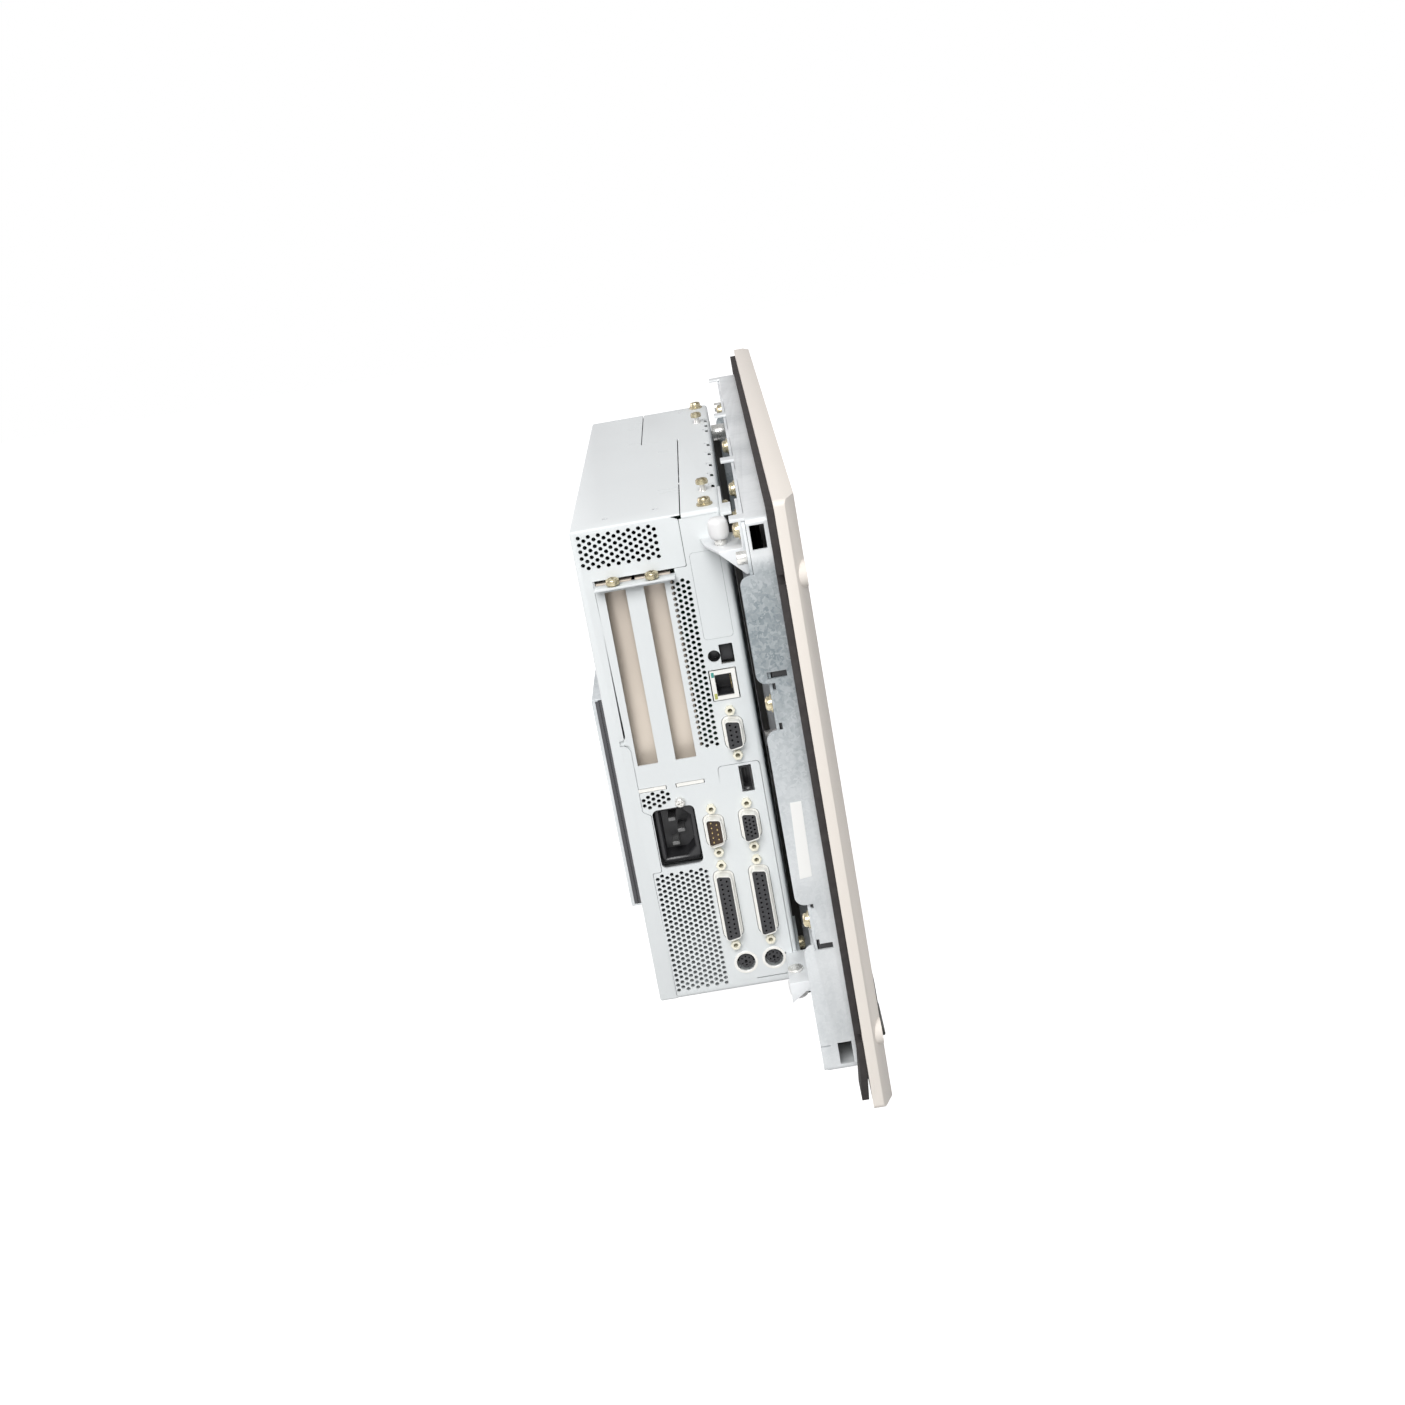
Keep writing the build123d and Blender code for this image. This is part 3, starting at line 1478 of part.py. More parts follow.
# Fan on the free side: frame with four struts, and a rotor on its axle
fan_face = fan_x
fan_hub_depth = fan_depth - 2 * fan_wall - fan_wall
with BuildPart() as fan_frame:
    with BuildSketch(side(fan_face)):
        with Locations((fan_y, fan_z)):
            RectangleRounded(fan_size, fan_size, fan_wall)
            Circle(fan_bore_radius, mode=Mode.SUBTRACT)
    extrude(amount=fan_depth)
    with BuildSketch(side(fan_face)):
        with Locations((fan_y, fan_z)):
            Circle(fan_hub_radius)
            Rectangle(2 * fan_bore_radius + fan_wall, fan_strut_width)
            Rectangle(fan_strut_width, 2 * fan_bore_radius + fan_wall)
    extrude(amount=fan_wall)
    with BuildSketch(side(fan_face + fan_wall)):
        with Locations((fan_y, fan_z)):
            Circle(fan_axle_radius)
    extrude(amount=fan_hub_depth - fan_wall)
save(fan_frame.part, "fan_frame")

with BuildPart() as fan_rotor:
    with BuildSketch(side(fan_face + fan_wall + fit_gap)):
        with Locations((fan_y, fan_z)):
            Circle(fan_hub_radius)
    extrude(amount=fan_hub_depth)
    blade_length = fan_bore_radius - fan_blade_gap - fan_hub_radius + fan_wall
    blade_depth = fan_hub_depth * fan_blade_depth_share
    blade_x = fan_face + fan_wall + fit_gap + fan_hub_depth / 2
    blade_root = fan_hub_radius - fan_wall
    lean = radians(fan_blade_lean)
    for turn in range(fan_blade_count):
        angle = radians(360 / fan_blade_count * turn)
        outward = (0, cos(angle), sin(angle))
        chord = (cos(lean), -sin(lean) * sin(angle), sin(lean) * cos(angle))
        root_place = (blade_x, fan_y + blade_root * cos(angle), fan_z + blade_root * sin(angle))
        with BuildSketch(Plane(origin=root_place, x_dir=chord, z_dir=outward)):
            Rectangle(blade_depth, fan_blade_thickness)
        extrude(amount=blade_length)
    with BuildSketch(side(fan_face + fan_wall)):
        with Locations((fan_y, fan_z)):
            Circle(fan_axle_radius + bearing_gap)
    extrude(amount=fan_hub_depth, mode=Mode.SUBTRACT)
save(fan_rotor.part, "fan_rotor")

# Slot plates: a flat plate behind each opening, a tab over the ledge and a narrow tail
blank_top = rail_top + blank_sheet
blank_bottom = tail_z - tail_slot_height
with BuildPart() as slot_plates:
    for y, z in slot_places:
        with BuildSketch(side(port_inner)):
            with Locations((y, blank_top)):
                Rectangle(
                    blank_width,
                    blank_top - slot_top + slot_height + blank_top_over,
                    align=(Align.CENTER, Align.MAX),
                )
            with Locations((y, blank_bottom)):
                Rectangle(blank_tail, blank_top - blank_bottom, align=(Align.CENTER, Align.MIN))
        extrude(amount=blank_sheet)
    with BuildSketch(level(rail_top)):
        for y, z in slot_places:
            with Locations((port_inner + blank_sheet, y)):
                Rectangle(blank_tab, blank_width, align=(Align.MAX, Align.CENTER))
        with Locations(*slot_screw_places):
            Circle(screw_hole_radius, mode=Mode.SUBTRACT)
    extrude(amount=blank_sheet)
save(slot_plates.part, "slot_plates")


def upward(x, y, z):
    """Place whose local Z points up."""
    return Plane(origin=(x, y, z), x_dir=(1, 0, 0), z_dir=(0, 0, 1))


def frontward(x, y, z):
    """Place whose local Z points to the operator's side."""
    return Plane(origin=(x, y, z), x_dir=(1, 0, 0), z_dir=(0, -1, 0))


# Pan screws of the computer unit: slot plates, hinge leaves and the one on the port wall
slot_screw_shank = blank_sheet + rail_thickness
leaf_screw_x = box_left + leaf_on_box - leaf_screw_inset
wall_screw_radius = screw_head_radius * wall_screw_share
with BuildPart() as case_screws:
    for x, y in slot_screw_places:
        add(upward(x, y, blank_top) * pan_screw(slot_screw_shank, washer=screw_head_radius))
    for z in (box_top - leaf_height / 2, box_bottom + leaf_height / 2):
        add(frontward(leaf_screw_x, leaf_front, z) * pan_screw(leaf_sheet, washer=screw_head_radius))
    wall_screw = pan_screw(sheet, wall_screw_radius, wall_screw_radius)
    add(portward(box_left, wall_screw_y, wall_screw_z) * wall_screw)
save(case_screws.part, "case_screws")

# Connector bodies. The port wall's inner face carries every flange.
flange_back = port_inner + dsub_flange_thickness
nose_front = box_left - nose


def dsub_shell(y, z, shell_length, flange_length, screw_pitch):
    """Metal shell of a D-shaped connector with its mounting flange."""
    inner_thickness = dsub_shell_thickness - 2 * dsub_wall
    with BuildPart() as shell:
        with BuildSketch(side(port_inner)):
            with Locations((y, z)):
                RectangleRounded(dsub_flange_height, flange_length, dsub_corner_radius)
                with GridLocations(0, screw_pitch, 1, 2):
                    Circle(jack_hole_radius, mode=Mode.SUBTRACT)
        extrude(amount=dsub_flange_thickness)
        with BuildSketch(side(nose_front)):
            with Locations((y, z)):
                add(dsub_outline(shell_length, dsub_shell_thickness, dsub_corner_radius))
        extrude(amount=port_inner - nose_front)
        with BuildSketch(side(nose_front)):
            with Locations((y, z)):
                inner_length = shell_length - 2 * dsub_wall
                add(dsub_outline(inner_length, inner_thickness, dsub_corner_radius - dsub_wall))
        extrude(amount=flange_back - nose_front, mode=Mode.SUBTRACT)
    return shell.part


def dsub_core(y, z, shell_length, front, body_front, body_back, body_length):
    """Moulded core in a shell, with its block on the board behind the flange."""
    inner_length = shell_length - 2 * dsub_wall - 2 * sliding_gap
    inner_thickness = dsub_shell_thickness - 2 * dsub_wall - 2 * sliding_gap
    with BuildPart() as core:
        with BuildSketch(side(front)):
            with Locations((y, z)):
                add(dsub_outline(inner_length, inner_thickness, dsub_corner_radius - dsub_wall))
        extrude(amount=flange_back - front)
        with BuildSketch(side(flange_back)):
            with Locations(((body_front + body_back) / 2, z)):
                Rectangle(body_back - body_front, body_length)
        extrude(amount=dsub_depth)
    return core.part


core_front = nose_front + fit_gap
plug_floor = port_inner - fit_gap
block_split = column_two - dsub_flange_height / 2
lower_block_back = block_split - fit_gap
block_back = column_two + dsub_flange_height / 2
core_block_share = 1.1
nine_block_length = nine_shell_length * core_block_share
wide_block_length = wide_shell_length * core_block_share

with BuildPart() as nine_way_shells:
    for y, z in nine_places:
        add(dsub_shell(y, z, nine_shell_length, nine_flange_length, nine_screw_pitch))
save(nine_way_shells.part, "nine_way_shells")

with BuildPart() as nine_way_sockets:
    for z in (serial_z, video_z):
        add(
            dsub_core(
                column_one, z, nine_shell_length, core_front, board_face, lower_block_back, nine_block_length
            )
        )
save(nine_way_sockets.part, "nine_way_sockets")

with BuildPart() as serial_plug:
    add(
        dsub_core(
            column_two,
            second_serial_z,
            nine_shell_length,
            plug_floor,
            block_split,
            block_back,
            nine_block_length,
        )
    )
save(serial_plug.part, "serial_plug")

with BuildPart() as serial_plug_pins:
    with BuildSketch(side(nose_front + pin_setback)):
        with Locations((column_two - dsub_row_pitch / 2, second_serial_z)):
            with GridLocations(0, dsub_pin_pitch, 1, 4):
                Circle(dsub_pin_radius)
        with Locations((column_two + dsub_row_pitch / 2, second_serial_z)):
            with GridLocations(0, dsub_pin_pitch, 1, 5):
                Circle(dsub_pin_radius)
    extrude(amount=plug_floor - nose_front - pin_setback)
save(serial_plug_pins.part, "serial_plug_pins")

with BuildPart() as wide_shells:
    for y, z in wide_places:
        add(dsub_shell(y, z, wide_shell_length, wide_flange_length, wide_screw_pitch))
save(wide_shells.part, "wide_shells")

with BuildPart() as wide_sockets:
    add(
        dsub_core(
            column_one,
            printer_z,
            wide_shell_length,
            core_front,
            board_face,
            lower_block_back,
            wide_block_length,
        )
    )
    add(
        dsub_core(
            column_two, printer_z, wide_shell_length, core_front, block_split, block_back, wide_block_length
        )
    )
save(wide_sockets.part, "wide_sockets")

# Jack screws: a hexagonal head with a threaded bore and a shank into the flange
jack_places = [(y, z + sign * nine_screw_pitch / 2) for y, z in nine_places for sign in (-1, 1)]
jack_places += [(y, z + sign * wide_screw_pitch / 2) for y, z in wide_places for sign in (-1, 1)]
jack_shank_radius = jack_hole_radius - sliding_gap
with BuildPart() as jack_screws:
    with BuildSketch(side(box_left - jack_height)):
        with Locations(*jack_places):
            RegularPolygon(jack_radius, 6)
    extrude(amount=jack_height)
    with BuildSketch(side(box_left)):
        with Locations(*jack_places):
            Circle(jack_shank_radius)
    extrude(amount=flange_back - box_left)
    with BuildSketch(side(box_left - jack_height)):
        with Locations(*jack_places):
            Circle(jack_thread_radius)
    extrude(amount=jack_height, mode=Mode.SUBTRACT)
save(jack_screws.part, "jack_screws")

# Network socket: metal can with a stepped mouth
ethernet_stand = 0.4
with BuildPart() as ethernet_socket:
    with BuildSketch(side(box_left - ethernet_stand)):
        with Locations((ethernet_y, ethernet_z)):
            Rectangle(ethernet_width, ethernet_height)
    extrude(amount=ethernet_depth)
    with BuildSketch(side(box_left - ethernet_stand)):
        with Locations((ethernet_y, ethernet_z)):
            Rectangle(ethernet_mouth_width, ethernet_mouth_height)
            with Locations((ethernet_mouth_width / 2, 0)):
                Rectangle(ethernet_mouth_width / 4, ethernet_mouth_height / 2)
    extrude(amount=ethernet_mouth_depth, mode=Mode.SUBTRACT)
save(ethernet_socket.part, "ethernet_socket")

# Serial bus socket: folded shell and its tongue on the shell's floor
with BuildPart() as usb_shell:
    with BuildSketch(side(box_left)):
        with Locations((usb_y, usb_z)):
            Rectangle(usb_thickness, usb_height)
            Rectangle(usb_thickness - 2 * usb_wall, usb_height - 2 * usb_wall, mode=Mode.SUBTRACT)
    extrude(amount=usb_depth)
save(usb_shell.part, "usb_shell")

usb_floor = usb_wall + usb_wall
usb_tongue_y = usb_y + usb_thickness / 2 - usb_wall - usb_tongue_thickness
with BuildPart() as usb_tongue:
    with BuildSketch(side(box_left + usb_depth - usb_floor)):
        with Locations((usb_y, usb_z)):
            Rectangle(usb_thickness - 2 * usb_wall, usb_height - 2 * usb_wall)
    extrude(amount=usb_floor)
    with BuildSketch(side(box_left + usb_floor)):
        with Locations((usb_tongue_y, usb_z)):
            Rectangle(usb_tongue_thickness, usb_tongue_height)
    extrude(amount=usb_depth - 2 * usb_floor)
save(usb_tongue.part, "usb_tongue")

# Keyboard and mouse sockets: round nose through the wall and a block on the board
din_block = 2 * (column_one - board_face)
with BuildPart() as din_sockets:
    for y, z in din_places:
        with BuildSketch(side(box_left)):
            with Locations((y, z)):
                Circle(din_radius)
        extrude(amount=sheet + plate_rim_sheet)
        with BuildSketch(side(port_inner + plate_rim_sheet)):
            with Locations((y, z)):
                Rectangle(din_block, din_block)
        extrude(amount=din_depth)
        with BuildSketch(side(box_left)):
            with Locations((y, z)):
                Circle(din_bore_radius)
        extrude(amount=din_bore_depth, mode=Mode.SUBTRACT)
save(din_sockets.part, "din_sockets")

# Push buttons, and the switch housing that guides them behind the wall
button_back = port_inner + eject_body
block_front = button_back + eject_travel + switch_gap
block_depth = 6.0
block_margin = 1.5
with BuildPart() as eject_button:
    with BuildSketch(side(box_left - eject_stand)):
        with Locations((eject_y, eject_z)):
            Rectangle(eject_width, eject_height)
    extrude(amount=eject_stand + button_back - box_left)
    chamfer(eject_button.edges().group_by(Axis.X)[0], eject_stand / 4)
save(eject_button.part, "eject_button")

with BuildPart() as reset_button:
    with BuildSketch(side(box_left - reset_stand)):
        with Locations((reset_y, reset_z)):
            Circle(reset_radius)
    extrude(amount=reset_stand + button_back - box_left)
    chamfer(reset_button.edges().group_by(Axis.X)[0], reset_stand / 4)
save(reset_button.part, "reset_button")

switch_front = board_face
switch_back = reset_y + reset_radius + block_margin
with BuildPart() as switch_block:
    with BuildSketch(side(port_inner + fit_gap)):
        with Locations((switch_front, eject_z)):
            Rectangle(
                switch_back - switch_front, eject_height + 2 * block_margin, align=(Align.MIN, Align.CENTER)
            )
        add(button_openings(), mode=Mode.SUBTRACT)
    extrude(amount=block_front - port_inner - fit_gap)
    with BuildSketch(side(block_front)):
        with Locations((switch_front, eject_z)):
            Rectangle(
                switch_back - switch_front, eject_height + 2 * block_margin, align=(Align.MIN, Align.CENTER)
            )
    extrude(amount=block_depth)
save(switch_block.part, "switch_block")

# Slim disc drive on the hood's rear face, under its own folded cover
drive_left = box_left + drive_left_inset
drive_top = box_top - drive_drop
drive_middle = drive_top - drive_width / 2
drive_front = box_back
drive_back = drive_front + drive_thickness
cover_back = drive_back + drive_gap + drive_wall
cover_right = drive_left + drive_length + drive_gap + drive_wall
cover_half = drive_width / 2 + drive_gap + drive_wall
with BuildPart() as drive_cover:
    with BuildSketch(across(drive_front)):
        with Locations((drive_left, drive_middle)):
            Rectangle(cover_right - drive_left, 2 * cover_half, align=(Align.MIN, Align.CENTER))
    extrude(amount=-(cover_back - drive_front + drive_cover_hem - drive_wall - drive_gap))
    fillet(drive_cover.edges().group_by(Axis.Y)[-1].sort_by(Axis.X)[1:], drive_wall)
    with BuildSketch(across(drive_front)):
        with Locations((drive_left, drive_middle)):
            Rectangle(
                cover_right - drive_left - drive_wall,
                2 * (cover_half - drive_wall),
                align=(Align.MIN, Align.CENTER),
            )
    extrude(amount=-(drive_thickness + drive_gap), mode=Mode.SUBTRACT)
    inner_back = drive_back + drive_cover_hem - drive_wall
    with BuildSketch(across(drive_front)):
        with Locations((drive_left + drive_wall, drive_middle)):
            Rectangle(
                cover_right - drive_left - 2 * drive_wall,
                2 * (cover_half - drive_wall),
                align=(Align.MIN, Align.CENTER),
            )
    extrude(amount=-(inner_back - drive_front), mode=Mode.SUBTRACT)
    # Foot flange screwed to the hood at the closed end
    with BuildSketch(across(drive_front)):
        with Locations((cover_right, drive_middle)):
            Rectangle(drive_cover_foot, 2 * cover_half, align=(Align.MIN, Align.CENTER))
    extrude(amount=-drive_wall)
save(drive_cover.part, "drive_cover")

with BuildPart() as drive_case:
    with BuildSketch(across(drive_front)):
        with Locations((drive_left + tray_front_depth + drive_gap, drive_middle)):
            Rectangle(
                drive_length - tray_front_depth - drive_gap, drive_width, align=(Align.MIN, Align.CENTER)
            )
    extrude(amount=-drive_thickness)
    with BuildSketch(across(drive_front + drive_case_wall)):
        with Locations((drive_left, drive_middle)):
            Rectangle(
                drive_length - drive_case_wall,
                drive_width - 2 * drive_case_wall,
                align=(Align.MIN, Align.CENTER),
            )
    extrude(amount=-(drive_thickness - 2 * drive_case_wall), mode=Mode.SUBTRACT)
save(drive_case.part, "drive_case")

# Disc tray with its front, the pocket for the disc and the hub
tray_clear = drive_case_wall + fit_gap
disc_tray_length = drive_length - tray_front_depth - drive_gap - 2 * tray_clear
disc_tray_front = drive_front + tray_clear
disc_middle_x = drive_left + tray_front_depth + disc_tray_length / 2
disc_tray_width = drive_width - 2 * tray_clear
button_pocket_depth = drive_gap + drive_button_width + sliding_gap
button_pocket_length = drive_button_length + 2 * sliding_gap
with BuildPart() as disc_tray:
    with BuildSketch(across(drive_front + fit_gap)):
        with Locations((drive_left + drive_gap, drive_middle)):
            Rectangle(tray_front_depth, drive_width, align=(Align.MIN, Align.CENTER))
    extrude(amount=-(drive_thickness - 2 * fit_gap))
    with BuildSketch(across(disc_tray_front)):
        with Locations((drive_left + drive_gap + tray_front_depth, drive_middle)):
            Rectangle(disc_tray_length, disc_tray_width, align=(Align.MIN, Align.CENTER))
    extrude(amount=-disc_tray_thickness)
    with BuildSketch(across(disc_tray_front + disc_tray_thickness - disc_pocket_depth)):
        with Locations((disc_middle_x, drive_middle)):
            Circle(disc_radius)
            Circle(disc_hub_radius, mode=Mode.SUBTRACT)
    extrude(amount=-disc_pocket_depth, mode=Mode.SUBTRACT)
    with BuildSketch(across(drive_front)):
        with Locations((drive_left, drive_middle - drive_button_drop)):
            Rectangle(button_pocket_depth, button_pocket_length, align=(Align.MIN, Align.CENTER))
    extrude(amount=-(drive_thickness / 2), mode=Mode.SUBTRACT)
save(disc_tray.part, "disc_tray")

button_tall = drive_thickness / 4
with BuildPart() as drive_button:
    with BuildSketch(across(drive_front + tray_clear)):
        with Locations((drive_left + drive_gap - drive_button_travel, drive_middle - drive_button_drop)):
            Rectangle(drive_button_width, drive_button_length, align=(Align.MIN, Align.CENTER))
    extrude(amount=-button_tall)
save(drive_button.part, "drive_button")

# Screws that stand on the top wall and the bottom wall
stand_y = box_front + stand_screw_back
large_stand_x = (box_left + large_stand_left, box_right - large_stand_right)
small_stand_x = (box_left + small_stand_left, box_right - small_stand_right)
slot_edge_radius = 0.6
with BuildPart() as stand_screws:
    with BuildSketch(level(box_top)):
        with Locations(*[(x, stand_y) for x in large_stand_x]):
            Circle(stand_screw_radius)
    extrude(amount=stand_screw_height)
    with BuildSketch(level(box_top)):
        with Locations(*[(x, stand_y) for x in small_stand_x]):
            Circle(small_stand_radius)
    extrude(amount=small_stand_height)
    chamfer(stand_screws.edges().filter_by(GeomType.CIRCLE).group_by(Axis.Z)[-1], slot_edge_radius)
save(stand_screws.part, "stand_screws")

# Catches of the free side: ears on the box, their captive screws and the spacers on the tray
with BuildPart() as catch_spacers:
    with BuildSketch(across(plate_back)):
        with Locations(*catch_places):
            Circle(catch_spacer_radius)
            Circle(catch_shank_radius + fit_gap, mode=Mode.SUBTRACT)
    extrude(amount=-(box_front - plate_back - fit_gap))
save(catch_spacers.part, "catch_spacers")

with BuildPart() as catch_ears:
    with BuildSketch(across(box_front)):
        with Locations(*catch_places):
            with Locations((-catch_reach, 0)):
                Rectangle(catch_ear_length, catch_ear_height, align=(Align.MIN, Align.CENTER))
            Circle(screw_hole_radius, mode=Mode.SUBTRACT)
    extrude(amount=-catch_sheet)
    with BuildSketch(side(box_right)):
        with Locations(*[(box_front, z) for x, z in catch_places]):
            Rectangle(catch_foot_depth, catch_ear_height, align=(Align.MIN, Align.CENTER))
    extrude(amount=catch_sheet)
save(catch_ears.part, "catch_ears")

catch_seat = box_front + catch_sheet
with BuildPart() as catch_screws:
    with BuildSketch(across(catch_seat)):
        with Locations(*catch_places):
            Circle(catch_screw_radius)
    extrude(amount=-catch_head_height)
    chamfer(catch_screws.edges().group_by(Axis.Y)[-1], catch_shank_radius / 2)
    with BuildSketch(across(box_front)):
        with Locations(*catch_places):
            Circle(catch_shank_radius)
    extrude(amount=-catch_sheet)
save(catch_screws.part, "catch_screws")

# Front port behind the panel and its rubber cover
port_front = port_recess_depth - panel_thickness
with BuildPart() as front_port:
    with BuildSketch(across(port_front)):
        with Locations((port_x, port_z)):
            Rectangle(port_case_thickness, port_case_height)
            Rectangle(
                port_case_thickness - 2 * port_case_wall,
                port_case_height - 2 * port_case_wall,
                mode=Mode.SUBTRACT,
            )
    extrude(amount=-port_case_depth)
    with BuildSketch(across(port_front + port_case_depth - port_case_wall)):
        with Locations((port_x, port_z)):
            Rectangle(port_case_thickness, port_case_height)
    extrude(amount=-port_case_wall)
save(front_port.part, "front_port")

cover_front = -panel_thickness - fit_gap
with BuildPart() as port_cover:
    with BuildSketch(side(port_x - cover_width / 2)):
        with BuildLine():
            cover_top = port_z + cover_height / 2
            cover_low = port_z - cover_height / 2
            Polyline(
                (cover_front, cover_top),
                (cover_front - 2 * cover_bead_radius, cover_top),
                (cover_front - cover_thickness, cover_top - cover_thickness),
                (cover_front - cover_thickness, cover_low + cover_thickness),
                (cover_front - cover_thickness - cover_lip_lift, cover_low),
                (cover_front, cover_low),
                close=True,
            )
        make_face()
        with Locations((cover_front - cover_bead_radius, cover_top)):
            Circle(cover_bead_radius)
    extrude(amount=cover_width)
    with BuildSketch(across(cover_front)):
        with Locations((port_x, port_z)):
            RectangleRounded(
                port_recess_width - 2 * cover_plug_gap,
                port_recess_height - 2 * cover_plug_gap,
                cover_corner_radius / 2,
            )
    extrude(amount=-(cover_plug_depth + fit_gap))
save(port_cover.part, "port_cover")
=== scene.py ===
import math
import bmesh
import bpy
from mathutils import Matrix, Vector


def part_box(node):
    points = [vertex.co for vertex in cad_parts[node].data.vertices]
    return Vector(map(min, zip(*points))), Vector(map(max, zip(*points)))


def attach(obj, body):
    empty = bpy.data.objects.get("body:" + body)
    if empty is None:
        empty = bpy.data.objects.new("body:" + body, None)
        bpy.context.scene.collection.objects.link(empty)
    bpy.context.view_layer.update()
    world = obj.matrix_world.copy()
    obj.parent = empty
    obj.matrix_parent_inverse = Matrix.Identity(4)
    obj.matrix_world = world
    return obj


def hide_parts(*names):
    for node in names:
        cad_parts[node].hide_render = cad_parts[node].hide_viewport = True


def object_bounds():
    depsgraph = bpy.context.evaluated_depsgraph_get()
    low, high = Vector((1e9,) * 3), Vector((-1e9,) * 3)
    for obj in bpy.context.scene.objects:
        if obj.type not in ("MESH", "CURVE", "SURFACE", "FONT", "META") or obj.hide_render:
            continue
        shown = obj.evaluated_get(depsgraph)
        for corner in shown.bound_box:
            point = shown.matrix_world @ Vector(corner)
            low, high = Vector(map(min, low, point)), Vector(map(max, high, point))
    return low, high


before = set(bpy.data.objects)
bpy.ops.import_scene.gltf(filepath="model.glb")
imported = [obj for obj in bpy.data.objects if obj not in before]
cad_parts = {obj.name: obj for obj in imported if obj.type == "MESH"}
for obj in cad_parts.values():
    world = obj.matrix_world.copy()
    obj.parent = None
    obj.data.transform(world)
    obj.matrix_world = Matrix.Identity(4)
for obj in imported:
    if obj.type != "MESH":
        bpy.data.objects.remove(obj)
cad_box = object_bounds()

# Axes: X to the right and Z up seen from the operator's side, Y from the operator to the rear.
# The origin is the centre of the front panel's rear face. Places and sizes are in metres, unless
# a name or a docstring says millimetres.
MM = 0.001
OPERATOR = "operator_unit"
COMPUTER = "computer_unit"

# Measures
sheet = 1.2 * MM
hood_sheet = 1.0 * MM
seam = 0.35 * MM
bend_radius = 2.0 * MM
hood_bend = 1.2 * MM
hole_steps = 12
corner_steps = 5
still = Matrix.Identity(4)

chassis_low, chassis_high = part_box("chassis")
hood_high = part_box("hood")[1]
box_left = chassis_low[0]
box_right = chassis_high[0]
box_front = chassis_low[1]
box_back = hood_high[1]
box_bottom = chassis_low[2]
box_top = chassis_high[2]
port_inner = box_left + sheet

# Camera: the photograph's viewpoint, fitted to the standard sizes of the ports
photo_side = 1405
focal_pixels = 1811.0
sensor_width = 36.0
axis_row = 533.93
camera_place = Vector((-1.03154, 0.01535, 0.34166))
camera_right = Vector((-0.01952, -0.98522, -0.17017)).normalized()
camera_forward = Vector((0.97046, 0.02227, -0.24023)).normalized()


def new_object(name, data):
    """Object in the scene."""
    made = bpy.data.objects.new(name, data)
    bpy.context.collection.objects.link(made)
    return made


def make_camera():
    """Camera at the photograph's viewpoint."""
    lens = bpy.data.cameras.new("photo_camera")
    lens.sensor_width = sensor_width
    lens.lens = focal_pixels * sensor_width / photo_side
    lens.shift_y = (axis_row - photo_side / 2) / photo_side
    lens.clip_start = 0.05
    camera = new_object("photo_camera", lens)
    back = -camera_forward
    up = back.cross(camera_right)
    turn = Matrix((camera_right, up, back)).transposed()
    camera.matrix_world = Matrix.Translation(camera_place) @ turn.to_4x4()
    bpy.context.scene.camera = camera


make_camera()
bpy.context.scene.view_settings.view_transform = "Standard"


# Shader node groups
# Heights between which painted shade darkens the zinc coat
shade_band_low_start, shade_band_low_end = -0.035, 0.075
shade_band_high_start, shade_band_high_end = 0.117, 0.124


def feed(tree, node, inputs):
    """Give each input of a node its value, or link it to the socket that it comes from."""
    for key, value in inputs.items():
        if isinstance(value, bpy.types.NodeSocket):
            tree.links.new(value, node.inputs[key])
        else:
            node.inputs[key].default_value = value


def add_node(tree, kind, inputs=None, **settings):
    """New shader node with its settings and inputs."""
    node = tree.nodes.new("ShaderNode" + kind)
    for key, value in settings.items():
        setattr(node, key, value)
    feed(tree, node, inputs or {})
    return node


def calculate(tree, operation, *values):
    """Result of a sum on values or sockets."""
    return add_node(tree, "Math", dict(enumerate(values)), operation=operation).outputs[0]


def remap(tree, value, from_low, from_high, to_low, to_high):
    """Value carried from one range to another, clamped."""
    node = add_node(tree, "MapRange", {
        "Value": value, "From Min": from_low, "From Max": from_high, "To Min": to_low, "To Max": to_high})
    return node.outputs["Result"]


def mix_colour(tree, amount, first, second):
    """Colour between two others."""
    return add_node(tree, "Mix", {0: amount, 6: first, 7: second}, data_type="RGBA").outputs[2]


def new_group(name, colours, numbers):
    """Shader node group with colour and number inputs, giving a colour, a roughness and a height."""
    group = bpy.data.node_groups.new(name, "ShaderNodeTree")
    for side, kind, labels in (
            ("INPUT", "Color", colours), ("INPUT", "Float", numbers), ("OUTPUT", "Color", ("Color",)),
            ("OUTPUT", "Float", ("Roughness", "Height"))):
        for label in labels:
            group.interface.new_socket(name=label, in_out=side, socket_type="NodeSocket" + kind)
    start, end = group.nodes.new("NodeGroupInput"), group.nodes.new("NodeGroupOutput")
    return group, start.outputs, end, add_node(group, "TexCoord").outputs["Object"]


